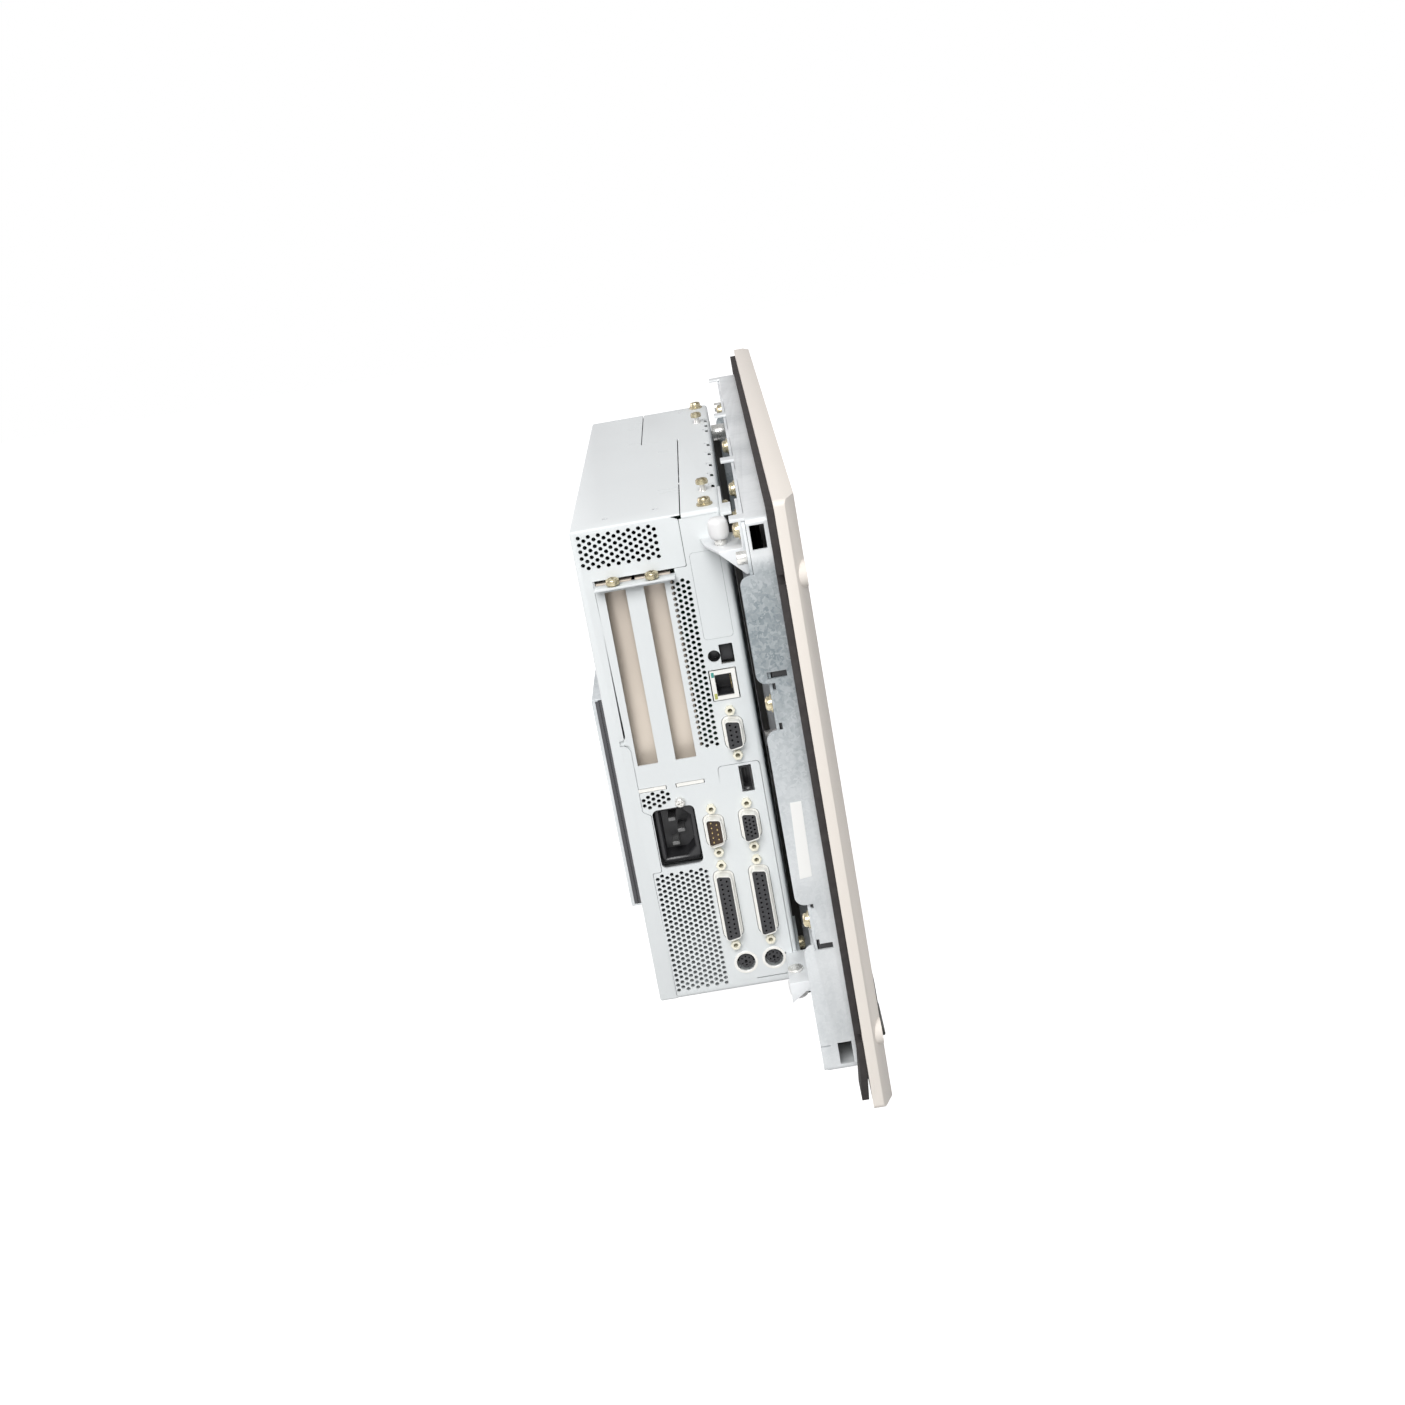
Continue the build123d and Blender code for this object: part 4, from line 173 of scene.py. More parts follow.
def build_zinc_group():
    """Hot-dip zinc: a pale smooth coat, darkened by painted shade in a band of heights where its crystals
    show.
    """
    group, given, end, place = new_group(
        "zinc_spangle", ("Pale", "Dark"), ("Crystals per metre", "Smooth", "Rough"))
    warp = add_node(group, "TexNoise", {"Vector": place, "Scale": 300.0}).outputs["Color"]
    shift = {0: warp, 1: (0.006, 0.006, 0.006), 2: place}
    shift = add_node(group, "VectorMath", shift, operation="MULTIPLY_ADD").outputs[0]
    crystals = add_node(group, "TexVoronoi", {"Vector": shift, "Scale": given["Crystals per metre"]})
    tone = add_node(group, "SeparateColor", {"Color": crystals.outputs["Color"]}).outputs["Red"]
    height = add_node(group, "SeparateXYZ", {"Vector": place}).outputs["Z"]
    # Band of painted shade between the heights above
    band = calculate(
        group, "MULTIPLY", remap(group, height, shade_band_low_start, shade_band_low_end, 0.0, 1.0),
        remap(group, height, shade_band_high_start, shade_band_high_end, 1.0, 0.0))
    cloud = add_node(group, "TexNoise", {"Vector": place, "Scale": 14.0, "Detail": 3.0}).outputs["Fac"]
    along = add_node(group, "Mapping", {"Vector": place, "Scale": (1, 1, 0.2)}).outputs["Vector"]
    streak = add_node(group, "TexNoise", {"Vector": along, "Scale": 150.0, "Detail": 3.0}).outputs["Fac"]
    base = calculate(group, "MULTIPLY_ADD", band, 0.50, remap(group, cloud, 0.42, 0.72, 0.0, 0.26))
    crystal = calculate(group, "MULTIPLY", tone, calculate(group, "MULTIPLY_ADD", base, 0.42, 0.03))
    total = calculate(
        group, "ADD", calculate(group, "ADD", base, crystal), remap(group, streak, 0.5, 0.75, 0.0, 0.08))
    feed(group, end, {
        "Color": mix_colour(group, total, given["Pale"], given["Dark"]),
        "Roughness": remap(group, total, 0.0, 1.0, given["Rough"], given["Smooth"]), "Height": total})
    return group


def build_grain_group():
    """Fine grain with large soft patches, for rolled sheet, paint and mouldings."""
    group, given, end, place = new_group(
        "fine_grain", ("Color", "Shade"),
        ("Grains per metre", "Patches per metre", "Patch amount", "Smooth", "Rough"))
    grain = add_node(group, "TexNoise", {"Vector": place, "Scale": given["Grains per metre"], "Detail": 3.0})
    patch = add_node(group, "TexNoise", {"Vector": place, "Scale": given["Patches per metre"], "Detail": 4.0})
    height = grain.outputs["Fac"]
    amount = remap(group, patch.outputs["Fac"], 0.35, 0.7, 0.0, given["Patch amount"])
    feed(group, end, {
        "Color": mix_colour(group, amount, given["Color"], given["Shade"]),
        "Roughness": remap(group, height, 0.3, 0.7, given["Smooth"], given["Rough"]), "Height": height})
    return group


zinc_group = build_zinc_group()
grain_group = build_grain_group()
finishes = {}


def finish_material(name, group, values, slot, metallic=0.0, bump=0.1, bump_depth=0.05 * MM, **settings):
    """Material whose colour, roughness and bump come from a node group; its slot is not used."""
    material = bpy.data.materials.new(name)
    material.use_nodes = True
    tree = material.node_tree
    effect = add_node(tree, "Group", values, node_tree=group).outputs
    relief = add_node(tree, "Bump", {"Strength": bump, "Distance": bump_depth, "Height": effect["Height"]})
    shader = tree.nodes["Principled BSDF"]
    feed(tree, shader, {label.replace("_", " "): value for label, value in settings.items()})
    feed(tree, shader, {"Metallic": metallic, "Base Color": effect["Color"], "Roughness": effect["Roughness"],
                        "Normal": relief.outputs["Normal"]})
    finishes[name] = material


def grain_material(name, colour, shade, smooth, rough, slot=None, grains=900.0, patches=14.0,
                   patch_amount=0.3, **more):
    """Material of plain sheet, paint, rubber or moulded plastic."""
    values = {
        "Color": (*colour, 1), "Shade": (*shade, 1), "Smooth": smooth, "Rough": rough,
        "Grains per metre": grains, "Patches per metre": patches, "Patch amount": patch_amount,
    }
    finish_material(name, grain_group, values, slot, **more)


# Dark: the colour of the band of painted shade, also reached by the zinc's patches and streaks
finish_material("galvanised", zinc_group, {
    "Pale": (0.77, 0.79, 0.80, 1), "Dark": (0.16, 0.20, 0.22, 1), "Crystals per metre": 640.0, "Smooth": 0.40,
    "Rough": 0.52}, None, metallic=0.25, bump=0.05)
grain_material("panel_paint", (0.755, 0.705, 0.65), (0.72, 0.67, 0.615), 0.46, 0.56, "panel", grains=1500.0,
               patch_amount=0.35, bump=0.12)
grain_material("bracket_zinc", (0.76, 0.775, 0.785), (0.62, 0.64, 0.65), 0.40, 0.52, "galvanised",
               grains=600.0, patches=60.0, patch_amount=0.6, metallic=0.2, bump=0.05)
grain_material("unit_sheet", (0.71, 0.735, 0.74), (0.685, 0.71, 0.715), 0.55, 0.65, metallic=0.08,
               patch_amount=0.5, bump=0.05)
grain_material("warm_steel", (0.56, 0.49, 0.42), (0.72, 0.64, 0.55), 0.34, 0.38, grains=60.0, patches=7.0,
               patch_amount=1.0, metallic=0.25, bump=0.01)
grain_material("gold_zinc", (0.66, 0.59, 0.41), (0.34, 0.29, 0.18), 0.22, 0.34, patches=160.0,
               patch_amount=0.8, metallic=0.8)
grain_material("bright_steel", (0.78, 0.77, 0.74), (0.60, 0.60, 0.57), 0.24, 0.36, "pin_steel", patches=90.0,
               metallic=0.75)
grain_material("gasket_foam", (0.044, 0.040, 0.040), (0.058, 0.053, 0.052), 0.8, 0.95, "gasket",
               grains=1300.0, patches=260.0, patch_amount=0.8, bump=0.5, bump_depth=0.25 * MM,
               Specular_IOR_Level=0.15)
grain_material("nylon", (0.80, 0.80, 0.80), (0.72, 0.72, 0.72), 0.30, 0.36, patches=120.0, bump=0.0,
               Transmission_Weight=0.12)
grain_material("black_moulding", (0.020, 0.020, 0.022), (0.028, 0.028, 0.030), 0.26, 0.40, "black_plastic",
               grains=1600.0, bump=0.12)
grain_material("grey_moulding", (0.036, 0.036, 0.039), (0.028, 0.028, 0.031), 0.5, 0.65, "socket_plastic",
               grains=1600.0, bump=0.2)
grain_material("plug_moulding", (0.040, 0.022, 0.013), (0.030, 0.017, 0.010), 0.4, 0.55, "plug_plastic",
               grains=1600.0, bump=0.15)
grain_material("connector_metal", (0.84, 0.83, 0.79), (0.70, 0.69, 0.65), 0.28, 0.38, patches=120.0,
               metallic=0.2, bump=0.06)
grain_material("jack_metal", (0.86, 0.83, 0.70), (0.70, 0.66, 0.50), 0.28, 0.38, "connector_metal",
               patches=200.0, metallic=0.15, bump=0.05)
# Near-black pins of the mains inlet: painted shade of the inlet's hollow on metal pins
grain_material("inlet_pins_painted_shade", (0.16, 0.16, 0.16), (0.10, 0.10, 0.10), 0.25, 0.35, "contact", patches=200.0,
               metallic=0.6, bump=0.05)
grain_material("gilt", (0.80, 0.62, 0.30), (0.66, 0.50, 0.24), 0.25, 0.35, "contact", patches=200.0,
               metallic=0.9, bump=0.05)
grain_material("board_green", (0.02, 0.11, 0.06), (0.03, 0.16, 0.09), 0.3, 0.42, grains=700.0, patches=300.0)
grain_material("drive_grey", (0.075, 0.075, 0.080), (0.060, 0.060, 0.064), 0.4, 0.55, "drive_plastic",
               grains=1400.0, bump=0.15)
grain_material("cover_rubber", (0.048, 0.046, 0.043), (0.064, 0.061, 0.057), 0.6, 0.75, bump=0.15,
               Specular_IOR_Level=0.3)
grain_material("extruded_sink", (0.62, 0.62, 0.63), (0.52, 0.52, 0.53), 0.3, 0.42, metallic=0.9, bump=0.08)
grain_material("screen_black", (0.012, 0.013, 0.016), (0.016, 0.017, 0.020), 0.28, 0.34, patches=5.0,
               bump=0.02)
grain_material("touch_film", (0.020, 0.022, 0.026), (0.026, 0.028, 0.032), 0.14, 0.18, patches=4.0, bump=0.01)
grain_material("paper_white", (0.90, 0.90, 0.88), (0.86, 0.86, 0.84), 0.5, 0.62, "galvanised", grains=2600.0,
               bump=0.05)
grain_material("window_teal", (0.05, 0.30, 0.26), (0.04, 0.22, 0.20), 0.2, 0.3, "socket_plastic",
               patches=200.0, bump=0.05)
grain_material("window_amber", (0.45, 0.46, 0.12), (0.36, 0.38, 0.10), 0.2, 0.3, "socket_plastic",
               patches=200.0, bump=0.05)

# Finish of each CAD node
node_finishes = {
    "panel_paint": "bezel", "touch_film": "touch_glass", "screen_black": "lcd_screen",
    "gasket_foam": "gasket_side_strips gasket_cross_strips", "cover_rubber": "port_cover",
    "nylon": "hinge_bushes",
    "galvanised": "display_tray tray_rear_plate hinge_brackets disk_cradle power_supply drive_cover",
    "unit_sheet": "chassis hood io_plate card_cover hinge_leaves catch_ears", "warm_steel": "slot_plates",
    "board_green": "inverter_board display_controller motherboard riser_board memory_modules",
    "extruded_sink": "display_case heat_sink hard_disk", "inlet_pins_painted_shade": "inlet_pins",
    "gilt": "serial_plug_pins",
    "gold_zinc": "tray_screws bracket_screws case_screws stand_screws", "jack_metal": "jack_screws",
    "bright_steel": "guide_pins hinge_pins catch_spacers catch_screws", "plug_moulding": "serial_plug",
    "connector_metal": "front_port nine_way_shells wide_shells ethernet_socket usb_shell",
    "grey_moulding": "board_sockets nine_way_sockets wide_sockets eject_button",
    "black_moulding":
        "processor mains_inlet fan_frame usb_tongue din_sockets switch_block fan_rotor reset_button",
    "drive_grey": "drive_case disc_tray drive_button",
}
for finish_name, node_names in node_finishes.items():
    for node_name in node_names.split():
        node_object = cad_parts[node_name]
        if not node_object.material_slots:
            node_object.data.materials.append(None)
        for material_slot in node_object.material_slots:
            material_slot.material = finishes[finish_name]


# Mesh tools
def smooth_mesh(mesh, angle=35):
    """Smooth shading with sharp edges kept."""
    mesh.polygons.foreach_set("use_smooth", [True] * len(mesh.polygons))
    mesh.set_sharp_from_angle(angle=math.radians(angle))
    return mesh


def add_piece(name, mesh, body, finish, replaces=None, smooth=35):
    """Put a mesh in the scene as a piece of the object, smooth across edges up to an angle in degrees."""
    if smooth:
        smooth_mesh(mesh, smooth)
    mesh.materials.clear()
    mesh.materials.append(finishes[finish])
    piece = new_object(name, mesh)
    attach(piece, body)
    if replaces:
        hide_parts(replaces)


def facing(origin, right, up):
    """Place whose local X and Y lie along two directions, with Z square to both."""
    right, up = Vector(right), Vector(up)
    turn = Matrix((right, up, right.cross(up))).transposed()
    return Matrix.Translation(origin) @ turn.to_4x4()


# On the port side local X runs to the rear, local Y up and local Z into the box
port_place = facing((0, 0, 0), (0, 1, 0), (0, 0, 1))


def at_port(depth, y, z, rearward=1):
    """Place in millimetres on the port side, its local Z into the box, or out of it with rearward -1."""
    return facing((box_left + depth * MM, y * MM, z * MM), (0, rearward, 0), (0, 0, 1))


def arc_points(centre, radius, start, end, steps):
    """Points on an arc between two angles in radians."""
    return [
        (centre[0] + radius * math.cos(start + (end - start) * i / steps),
         centre[1] + radius * math.sin(start + (end - start) * i / steps))
        for i in range(steps + 1)
    ]


def circle(x, y, radius, steps=hole_steps):
    """Closed round outline, from millimetres."""
    return arc_points((x * MM, y * MM), radius * MM, 0, 2 * math.pi * (steps - 1) / steps, steps - 1)


def rounded(points):
    """Closed outline from corners (x, y, radius) in millimetres."""
    outline = []
    points = [(x * MM, y * MM, radius * MM) for x, y, radius in points]
    for i, (x, y, radius) in enumerate(points):
        corner = Vector((x, y))
        if radius <= 0:
            outline.append((x, y))
            continue
        before = (Vector(points[i - 1][:2]) - corner).normalized()
        after = (Vector(points[(i + 1) % len(points)][:2]) - corner).normalized()
        half = before.angle(after) / 2
        reach = radius / math.tan(half)
        first, last = corner + before * reach, corner + after * reach
        centre = corner + (before + after).normalized() * radius / math.sin(half)
        start = math.atan2(first.y - centre.y, first.x - centre.x)
        end = math.atan2(last.y - centre.y, last.x - centre.x)
        while end - start > math.pi:
            end -= 2 * math.pi
        while end - start < -math.pi:
            end += 2 * math.pi
        outline += arc_points(centre, radius, start, end, corner_steps)
    return outline


def rectangle(low_x, low_y, high_x, high_y, radius=0.0, margin=0.0):
    """Closed outline of a rectangle in millimetres, grown by a margin."""
    low_x, low_y, high_x, high_y = low_x - margin, low_y - margin, high_x + margin, high_y + margin
    corners = (low_x, low_y), (high_x, low_y), (high_x, high_y), (low_x, high_y)
    return rounded([(*corner, radius) for corner in corners])


def new_mesh(work):
    """Mesh from a finished bmesh."""
    mesh = bpy.data.meshes.new("mesh")
    work.to_mesh(mesh)
    work.free()
    return mesh


def join_meshes(parts):
    """One mesh from several (mesh, place) pairs."""
    work = bmesh.new()
    for mesh, place in parts:
        placed = mesh.copy()
        placed.transform(place)
        work.from_mesh(placed)
    return new_mesh(work)


def merged(*meshes):
    """One mesh from several that stay where they are."""
    return join_meshes([(mesh, still) for mesh in meshes])


def lathe_mesh(profile, steps=24):
    """Turned form about local Z from (radius, height) points in millimetres."""
    work = bmesh.new()
    rings = []
    for radius, height in profile:
        radius, height = radius * MM, height * MM
        if radius <= 0:
            rings.append([work.verts.new((0, 0, height))])
            continue
        turn = [2 * math.pi * i / steps for i in range(steps)]
        rings.append([work.verts.new((radius * math.cos(a), radius * math.sin(a), height)) for a in turn])
    for first, second in zip(rings, rings[1:]):
        for i in range(steps):
            j = (i + 1) % steps
            if len(first) == 1:
                work.faces.new((first[0], second[i], second[j]))
            elif len(second) == 1:
                work.faces.new((first[i], first[j], second[0]))
            else:
                work.faces.new((first[i], first[j], second[j], second[i]))
    bmesh.ops.recalc_face_normals(work, faces=work.faces)
    return smooth_mesh(new_mesh(work))


def bevel(work, edges, radius, steps):
    """Round some edges of a bmesh."""
    bmesh.ops.bevel(work, geom=edges, offset=radius, segments=steps, profile=0.5, affect="EDGES",
                    clamp_overlap=True)


def sharp_edges(work, angle):
    """Edges of a bmesh whose two faces meet at more than an angle in degrees."""
    return [e for e in work.edges if len(e.link_faces) == 2 and e.calc_face_angle() > math.radians(angle)]


def cube_between(low, high):
    """Bmesh of a block between two corners."""
    work = bmesh.new()
    bmesh.ops.create_cube(work, size=1)
    for vertex in work.verts:
        vertex.co = Vector([low[i] if vertex.co[i] < 0 else high[i] for i in range(3)])
    return work


def block(low, high, edge=0.0):
    """Block between two corners, with its edges rounded by a radius."""
    work = cube_between(low, high)
    if edge > 0:
        bmesh.ops.bevel(work, geom=work.edges[:], offset=edge, segments=2, profile=0.5, affect="EDGES")
    return smooth_mesh(new_mesh(work), 40)


def port_block(low, high, edge=0.0):
    """Block between two corners in millimetres, X counted from the port wall's outer face inward."""
    low, high = [(box_left + x * MM, y * MM, z * MM) for x, y, z in (low, high)]
    return block(low, high, edge * MM)


def eased_copy(node, edge):
    """Mesh of a CAD node with its sharp edges rounded by a radius in millimetres."""
    work = bmesh.new()
    work.from_mesh(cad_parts[node].data)
    bmesh.ops.remove_doubles(work, verts=work.verts, dist=0.002 * MM)
    bmesh.ops.dissolve_limit(work, angle_limit=math.radians(1), verts=work.verts, edges=work.edges)
    bevel(work, sharp_edges(work, 35), edge * MM, 2)
    return new_mesh(work)


def round_edges(mesh, edge, steps=3):
    """Mesh with its sharp edges rounded by a radius in millimetres."""
    work = bmesh.new()
    work.from_mesh(mesh)
    bmesh.ops.remove_doubles(work, verts=work.verts, dist=0.001 * MM)
    bevel(work, sharp_edges(work, 50), edge * MM, steps)
    return new_mesh(work)


def prism(outline, low, high, place=still):
    """Solid between two levels of a plane, from a closed outline."""
    work = bmesh.new()
    lower = [work.verts.new((x, y, low)) for x, y in outline]
    upper = [work.verts.new((x, y, high)) for x, y in outline]
    for i in range(len(outline)):
        j = (i + 1) % len(outline)
        work.faces.new((lower[i], lower[j], upper[j], upper[i]))
    work.faces.new(lower[::-1])
    work.faces.new(upper)
    bmesh.ops.recalc_face_normals(work, faces=work.faces)
    mesh = new_mesh(work)
    mesh.transform(place)
    return mesh


def prisms(outlines, low, high, place=still):
    """One mesh of several solids that don't touch each other."""
    return merged(*[prism(outline, low, high, place) for outline in outlines])


def port_prisms(outlines, low=-3.0, high=3.0):
    """Solids on the port side between two depths in millimetres, or right through its wall."""
    return prisms(outlines, box_left + low * MM, box_left + high * MM, port_place)


def evaluated(mesh, kind, **settings):
    """Mesh as a modifier leaves it."""
    holder = new_object("holder", mesh)
    modifier = holder.modifiers.new("modifier", kind)
    for key, value in settings.items():
        setattr(modifier, key, value)
    bpy.context.view_layer.update()
    result = bpy.data.meshes.new_from_object(holder.evaluated_get(bpy.context.evaluated_depsgraph_get()))
    bpy.data.objects.remove(holder)
    return result


def cut_mesh(mesh, *cutters):
    """Mesh with each cutter taken out of it in turn."""
    for cutter in cutters:
        tool = new_object("cutter", cutter)
        mesh = evaluated(mesh, "BOOLEAN", operation="DIFFERENCE", solver="MANIFOLD", object=tool)
        bpy.data.objects.remove(tool)
    return mesh


def sheet_box(low, high, open_side, thickness, bend):
    """Folded sheet box with one open side and round bends, from its outer corners."""
    work = cube_between(low, high)
    gone = [face for face in work.faces if face.normal.dot(Vector(open_side)) > 0.9]
    bmesh.ops.delete(work, geom=gone, context="FACES_ONLY")
    folds = [edge for edge in work.edges if len(edge.link_faces) == 2]
    bmesh.ops.bevel(work, geom=folds, offset=bend, segments=3, profile=0.5, affect="EDGES")
    return evaluated(new_mesh(work), "SOLIDIFY", thickness=thickness, offset=-1, use_even_offset=True)


def vent_holes(low_y, high_y, low_z, high_z, columns, rows, skip=()):
    """Round holes in staggered columns, between limits in millimetres."""
    column_step = (high_y - low_y) / (columns - 1)
    row_step = (high_z - low_z) / (rows - 0.5)
    return [
        circle(low_y + column_step * column, low_z + row_step * (row + 0.5 * (column % 2)), vent_radius,
               vent_sides)
        for column in range(columns) for row in range(rows) if (column, row) not in skip
    ]


# Computer unit: the folded chassis and its hood
vent_sides = 10
vent_radius = 1.14
top_seam = 0.3 * MM
hood_top_edge = box_front + 20.5 * MM
strip_edge = box_back - 7.4 * MM
flap_low = box_top - 28.0 * MM
ledge_top = box_top - 30.5 * MM
ledge_low_y, ledge_high_y = box_front + 28.35 * MM, box_front + 70.15 * MM
ledge_reach = 7.5 * MM
ledge_screw_x = box_left - 4.0 * MM
step_x = 64.0 * MM
step_edge = box_front + 43.0 * MM
cut_reach = 3.0 * MM

# D-shaped connectors in millimetres: centre, length of the shell and pitch of the screws
column_one, column_two = 37.9, 56.95
nine_way = [(y, z, 16.9, 24.99) for y, z in ((column_one, 11.9), (column_one, -40.5), (column_two, -40.6))]
wide_way = [(y, -84.2, 38.9, 47.04) for y in (column_one, column_two)]
shell_thickness = 8.4
lip_wall = 1.1
nose, flange_depth = -5.6, 2.2
opening_margin = 2.9
screw_hole_radius = 1.75
contact_hole_radius = 0.62
# Contact rows: shift to the rear, count, pitch and rise
nine_rows = [(-1.42, 4, 2.77, 0), (1.42, 5, 2.77, 0)]
video_rows = [(-1.98, 5, 2.29, 0.6), (0, 5, 2.29, -0.55), (1.98, 5, 2.29, 0.6)]
wide_rows = [(-1.42, 12, 2.77, 0), (1.42, 13, 2.77, 0)]

# Other places on the port side in millimetres: rectangles as low Y, low Z, high Y, high Z, radius
slot_columns = (65.05, 85.37)
tail_shift = 0.33
round_sockets = (37.9, 53.2)
round_socket_z = -119.45
round_socket_hole = 5.3
fan_y, fan_z, fan_ring_step = 59.2, 72.5, 5.6
io_box = (27.6, -130.0, 49.5, -6.1, 2.0)
card_box = (29.2, 63.9, 44.5, 110.9, 2.0)

# Places on the box's top in millimetres: slots along the front edge, lines and dimples
slot_row = (111.0, 94.0, 77.0, 32.0, 4.5, -27.0, -54.0, -82.0)
top_lines = (
    ((32.0, 46.2), (32.0, 57.0)), ((-73.0, 46.2), (-73.0, 57.0)), ((-80.5, 46.2), (-80.5, 56.0)),
    ((124.0, 69.0), (124.0, 78.0)), ((73.0, 69.0), (73.0, 78.5)), ((-8.0, 55.6), (-8.0, 57.4)),
    ((140.0, 69.0), (140.0, 72.0)),
)
line_width = 0.8
rear_dimples = ((-119.0, 84.6), (-116.0, 58.4), (165.0, 87.3))
front_dimples = ((154.5, 43.2),)


def dsub_outline(connector, margin, corner):
    """D-shaped outline round a connector, its long axis upward and its wide side to the rear."""
    y, z, length, _ = connector
    thickness, length = shell_thickness + margin, length + margin
    slope = thickness * 0.17
    near, far, low, high = y - thickness / 2, y + thickness / 2, z - length / 2, z + length / 2
    return rounded([(near, low + slope, corner), (far, low, corner), (far, high, corner),
                    (near, high - slope, corner)])


def connector_holes(connectors):
    """Openings round D-shaped connectors and their screws."""
    holes = []
    for connector in connectors:
        y, z, _, pitch = connector
        holes.append(dsub_outline(connector, opening_margin, 3.5))
        holes += [circle(y, z + side * pitch / 2, screw_hole_radius) for side in (-1, 1)]
    return holes


def column_rectangles(shift, half, low, high, radius):
    """Rectangle at each slot's column."""
    return [rectangle(y + shift - half, low, y + shift + half, high, radius) for y in slot_columns]


def front_slots():
    """Small slots through the fold along the top's front edge."""
    return [
        rounded([(x - 6.0, 26.2, 0.3), (x + 5.0, 26.2, 0.3), (x + 5.0, 29.6, 0.3), (x + 1.0, 29.6, 0.3),
                 (x + 1.0, 28.0, 0), (x - 6.0, 28.0, 0.3)])
        for x in slot_row
    ]


def dimples(places):
    """Small round holes."""
    return [circle(x, y, 1.5, 16) for x, y in places]


def line_outlines():
    """Narrow rectangles along the lines of the top."""
    outlines = []
    for (x0, y0), (x1, y1) in top_lines:
        along = Vector((x1 - x0, y1 - y0)).normalized() * line_width / 2
        across = Vector((-along.y, along.x))
        first, last = Vector((x0, y0)) - along, Vector((x1, y1)) + along
        corners = first - across, last - across, last + across, first + across
        outlines.append([(corner * MM)[:] for corner in corners])
    return outlines


def through_top(outlines, depth=2.0 * MM):
    """Cutter down through the box's top."""
    return prisms(outlines, box_top - depth, box_top + cut_reach)


def make_chassis():
    """Folded chassis: port wall with openings and vents, ledge for the slot plates, lap under the hood."""
    shell = sheet_box((box_left, box_front, box_bottom), (box_right, strip_edge, box_top), (0, 1, 0), sheet,
                      bend_radius)
    port_clear = rounded([
        (46.7, 104.5, 0.6), (53.35, 104.5, 0), (53.35, 102.0, 0), (95.15, 102.0, 0), (95.15, 104.5, 0),
        (95.4, 104.5, 0), (95.4, 14.2, 0), (92.7, 14.2, 2.0), (92.7, -24.2, 1.0), (88.7, -26.7, 1.0),
        (88.7, -59.9, 1.0), (93.7, -59.9, 1.0), (93.7, -137.0, 0), (99.0, -137.0, 0), (99.0, 135.0, 0),
        (45.5, 135.0, 0), (45.5, 131.3, 0), (46.7, 131.3, 0.3),
    ])
    front_line, rear_line = hood_top_edge - top_seam, step_edge - top_seam
    left, right = box_left - cut_reach, box_right + cut_reach
    top_clear = [
        (left, front_line), (step_x, front_line), (step_x, rear_line), (right, rear_line), (right, box_back),
        (left, box_back),
    ]
    openings = connector_holes([nine_way[0], nine_way[2], wide_way[1]])
    openings += [rectangle(31.4, 30.25, 45.4, 46.95, 0.5, 0.3), rectangle(31.1, 49.8, 37.7, 60.0, 0.5, 0.3)]
    openings += [circle(41.1, 54.5, 3.3, 20), rectangle(*io_box, 0.3), rectangle(*card_box, 0.12)]
    tails = column_rectangles(tail_shift, 7.75, -13.65, -11.15, 0.4)
    for slot_and_tail in zip(column_rectangles(0, 5.5, 1.6, 98.0, 0.4), tails):
        openings += slot_and_tail
    openings.append(rectangle(65.7, -58.0, 88.3, -24.4, 3.0))
    openings += vent_holes(47.6, 55.6, 6.6, 97.6, 4, 30)
    openings += vent_holes(65.6, 91.9, -129.6, -62.0, 11, 23)
    openings += vent_holes(78.1, 91.3, -22.4, -14.9, 6, 3, {(0, 0), (5, 2)})
    fan_holes = [circle(fan_y, fan_z, vent_radius, vent_sides)]
    for ring in (1, 2, 3, 4):
        for turn in range(6 * ring):
            angle, radius = math.pi * turn / (3 * ring), ring * fan_ring_step
            fan_holes.append(circle(
                fan_y + radius * math.cos(angle), fan_z + radius * math.sin(angle), vent_radius, vent_sides))
    shell = cut_mesh(
        shell, port_prisms([port_clear]), through_top([top_clear], cut_reach),
        block((box_right - cut_reach, step_edge, flap_low), (right, box_back, box_top + cut_reach)),
        port_prisms(openings), port_prisms([circle(round_sockets[1], -119.4, round_socket_hole, 28)]),
        prisms(fan_holes, box_right - cut_reach, right, port_place),
        through_top(front_slots(), 4.0 * MM), through_top(dimples(front_dimples)),
        block((left, box_front + 0.8 * MM, box_top - 3.1 * MM),
              (box_left + 0.35 * MM, 46.6 * MM, box_top - 2.6 * MM)))
    ledge = block((box_left - ledge_reach, ledge_low_y, ledge_top - sheet),
                  (box_left + 0.4 * MM, ledge_high_y, ledge_top), 0.25 * MM)
    ledge = cut_mesh(ledge, join_meshes([
        (prism(circle(0, 0, 2.1, 20), ledge_top - cut_reach, ledge_top + cut_reach),
         Matrix.Translation((ledge_screw_x, y * MM, 0))) for y in slot_columns]))
    lap_inner = 0.02 * MM
    lap_low = (port_inner + lap_inner, strip_edge - 0.7 * MM, box_bottom + sheet + lap_inner)
    lap_high = (box_right - sheet - lap_inner, strip_edge + 4.0 * MM, box_top - sheet)
    lap = cut_mesh(
        block(lap_low, lap_high),
        block((lap_low[0] + MM, box_front, lap_low[2] + MM), (lap_high[0] - MM, box_back, box_top)),
        block((box_left, box_front, flap_low), (box_right, box_back, box_top + MM)))
    wide_lap = rounded([
        (92.2, 14.0, 1.0), (92.2, -24.0, 0), (91.2, -24.5, 0), (91.2, -61.0, 0), (92.9, -61.0, 0),
        (92.9, -132.0, 0), (99.6, -132.0, 0), (99.6, 14.0, 0)])
    wide_lap = prism(wide_lap, port_inner + lap_inner, port_inner + 0.9 * MM, port_place)
    add_piece("chassis_sheet", merged(shell, ledge, lap, wide_lap), COMPUTER, "unit_sheet", "chassis")


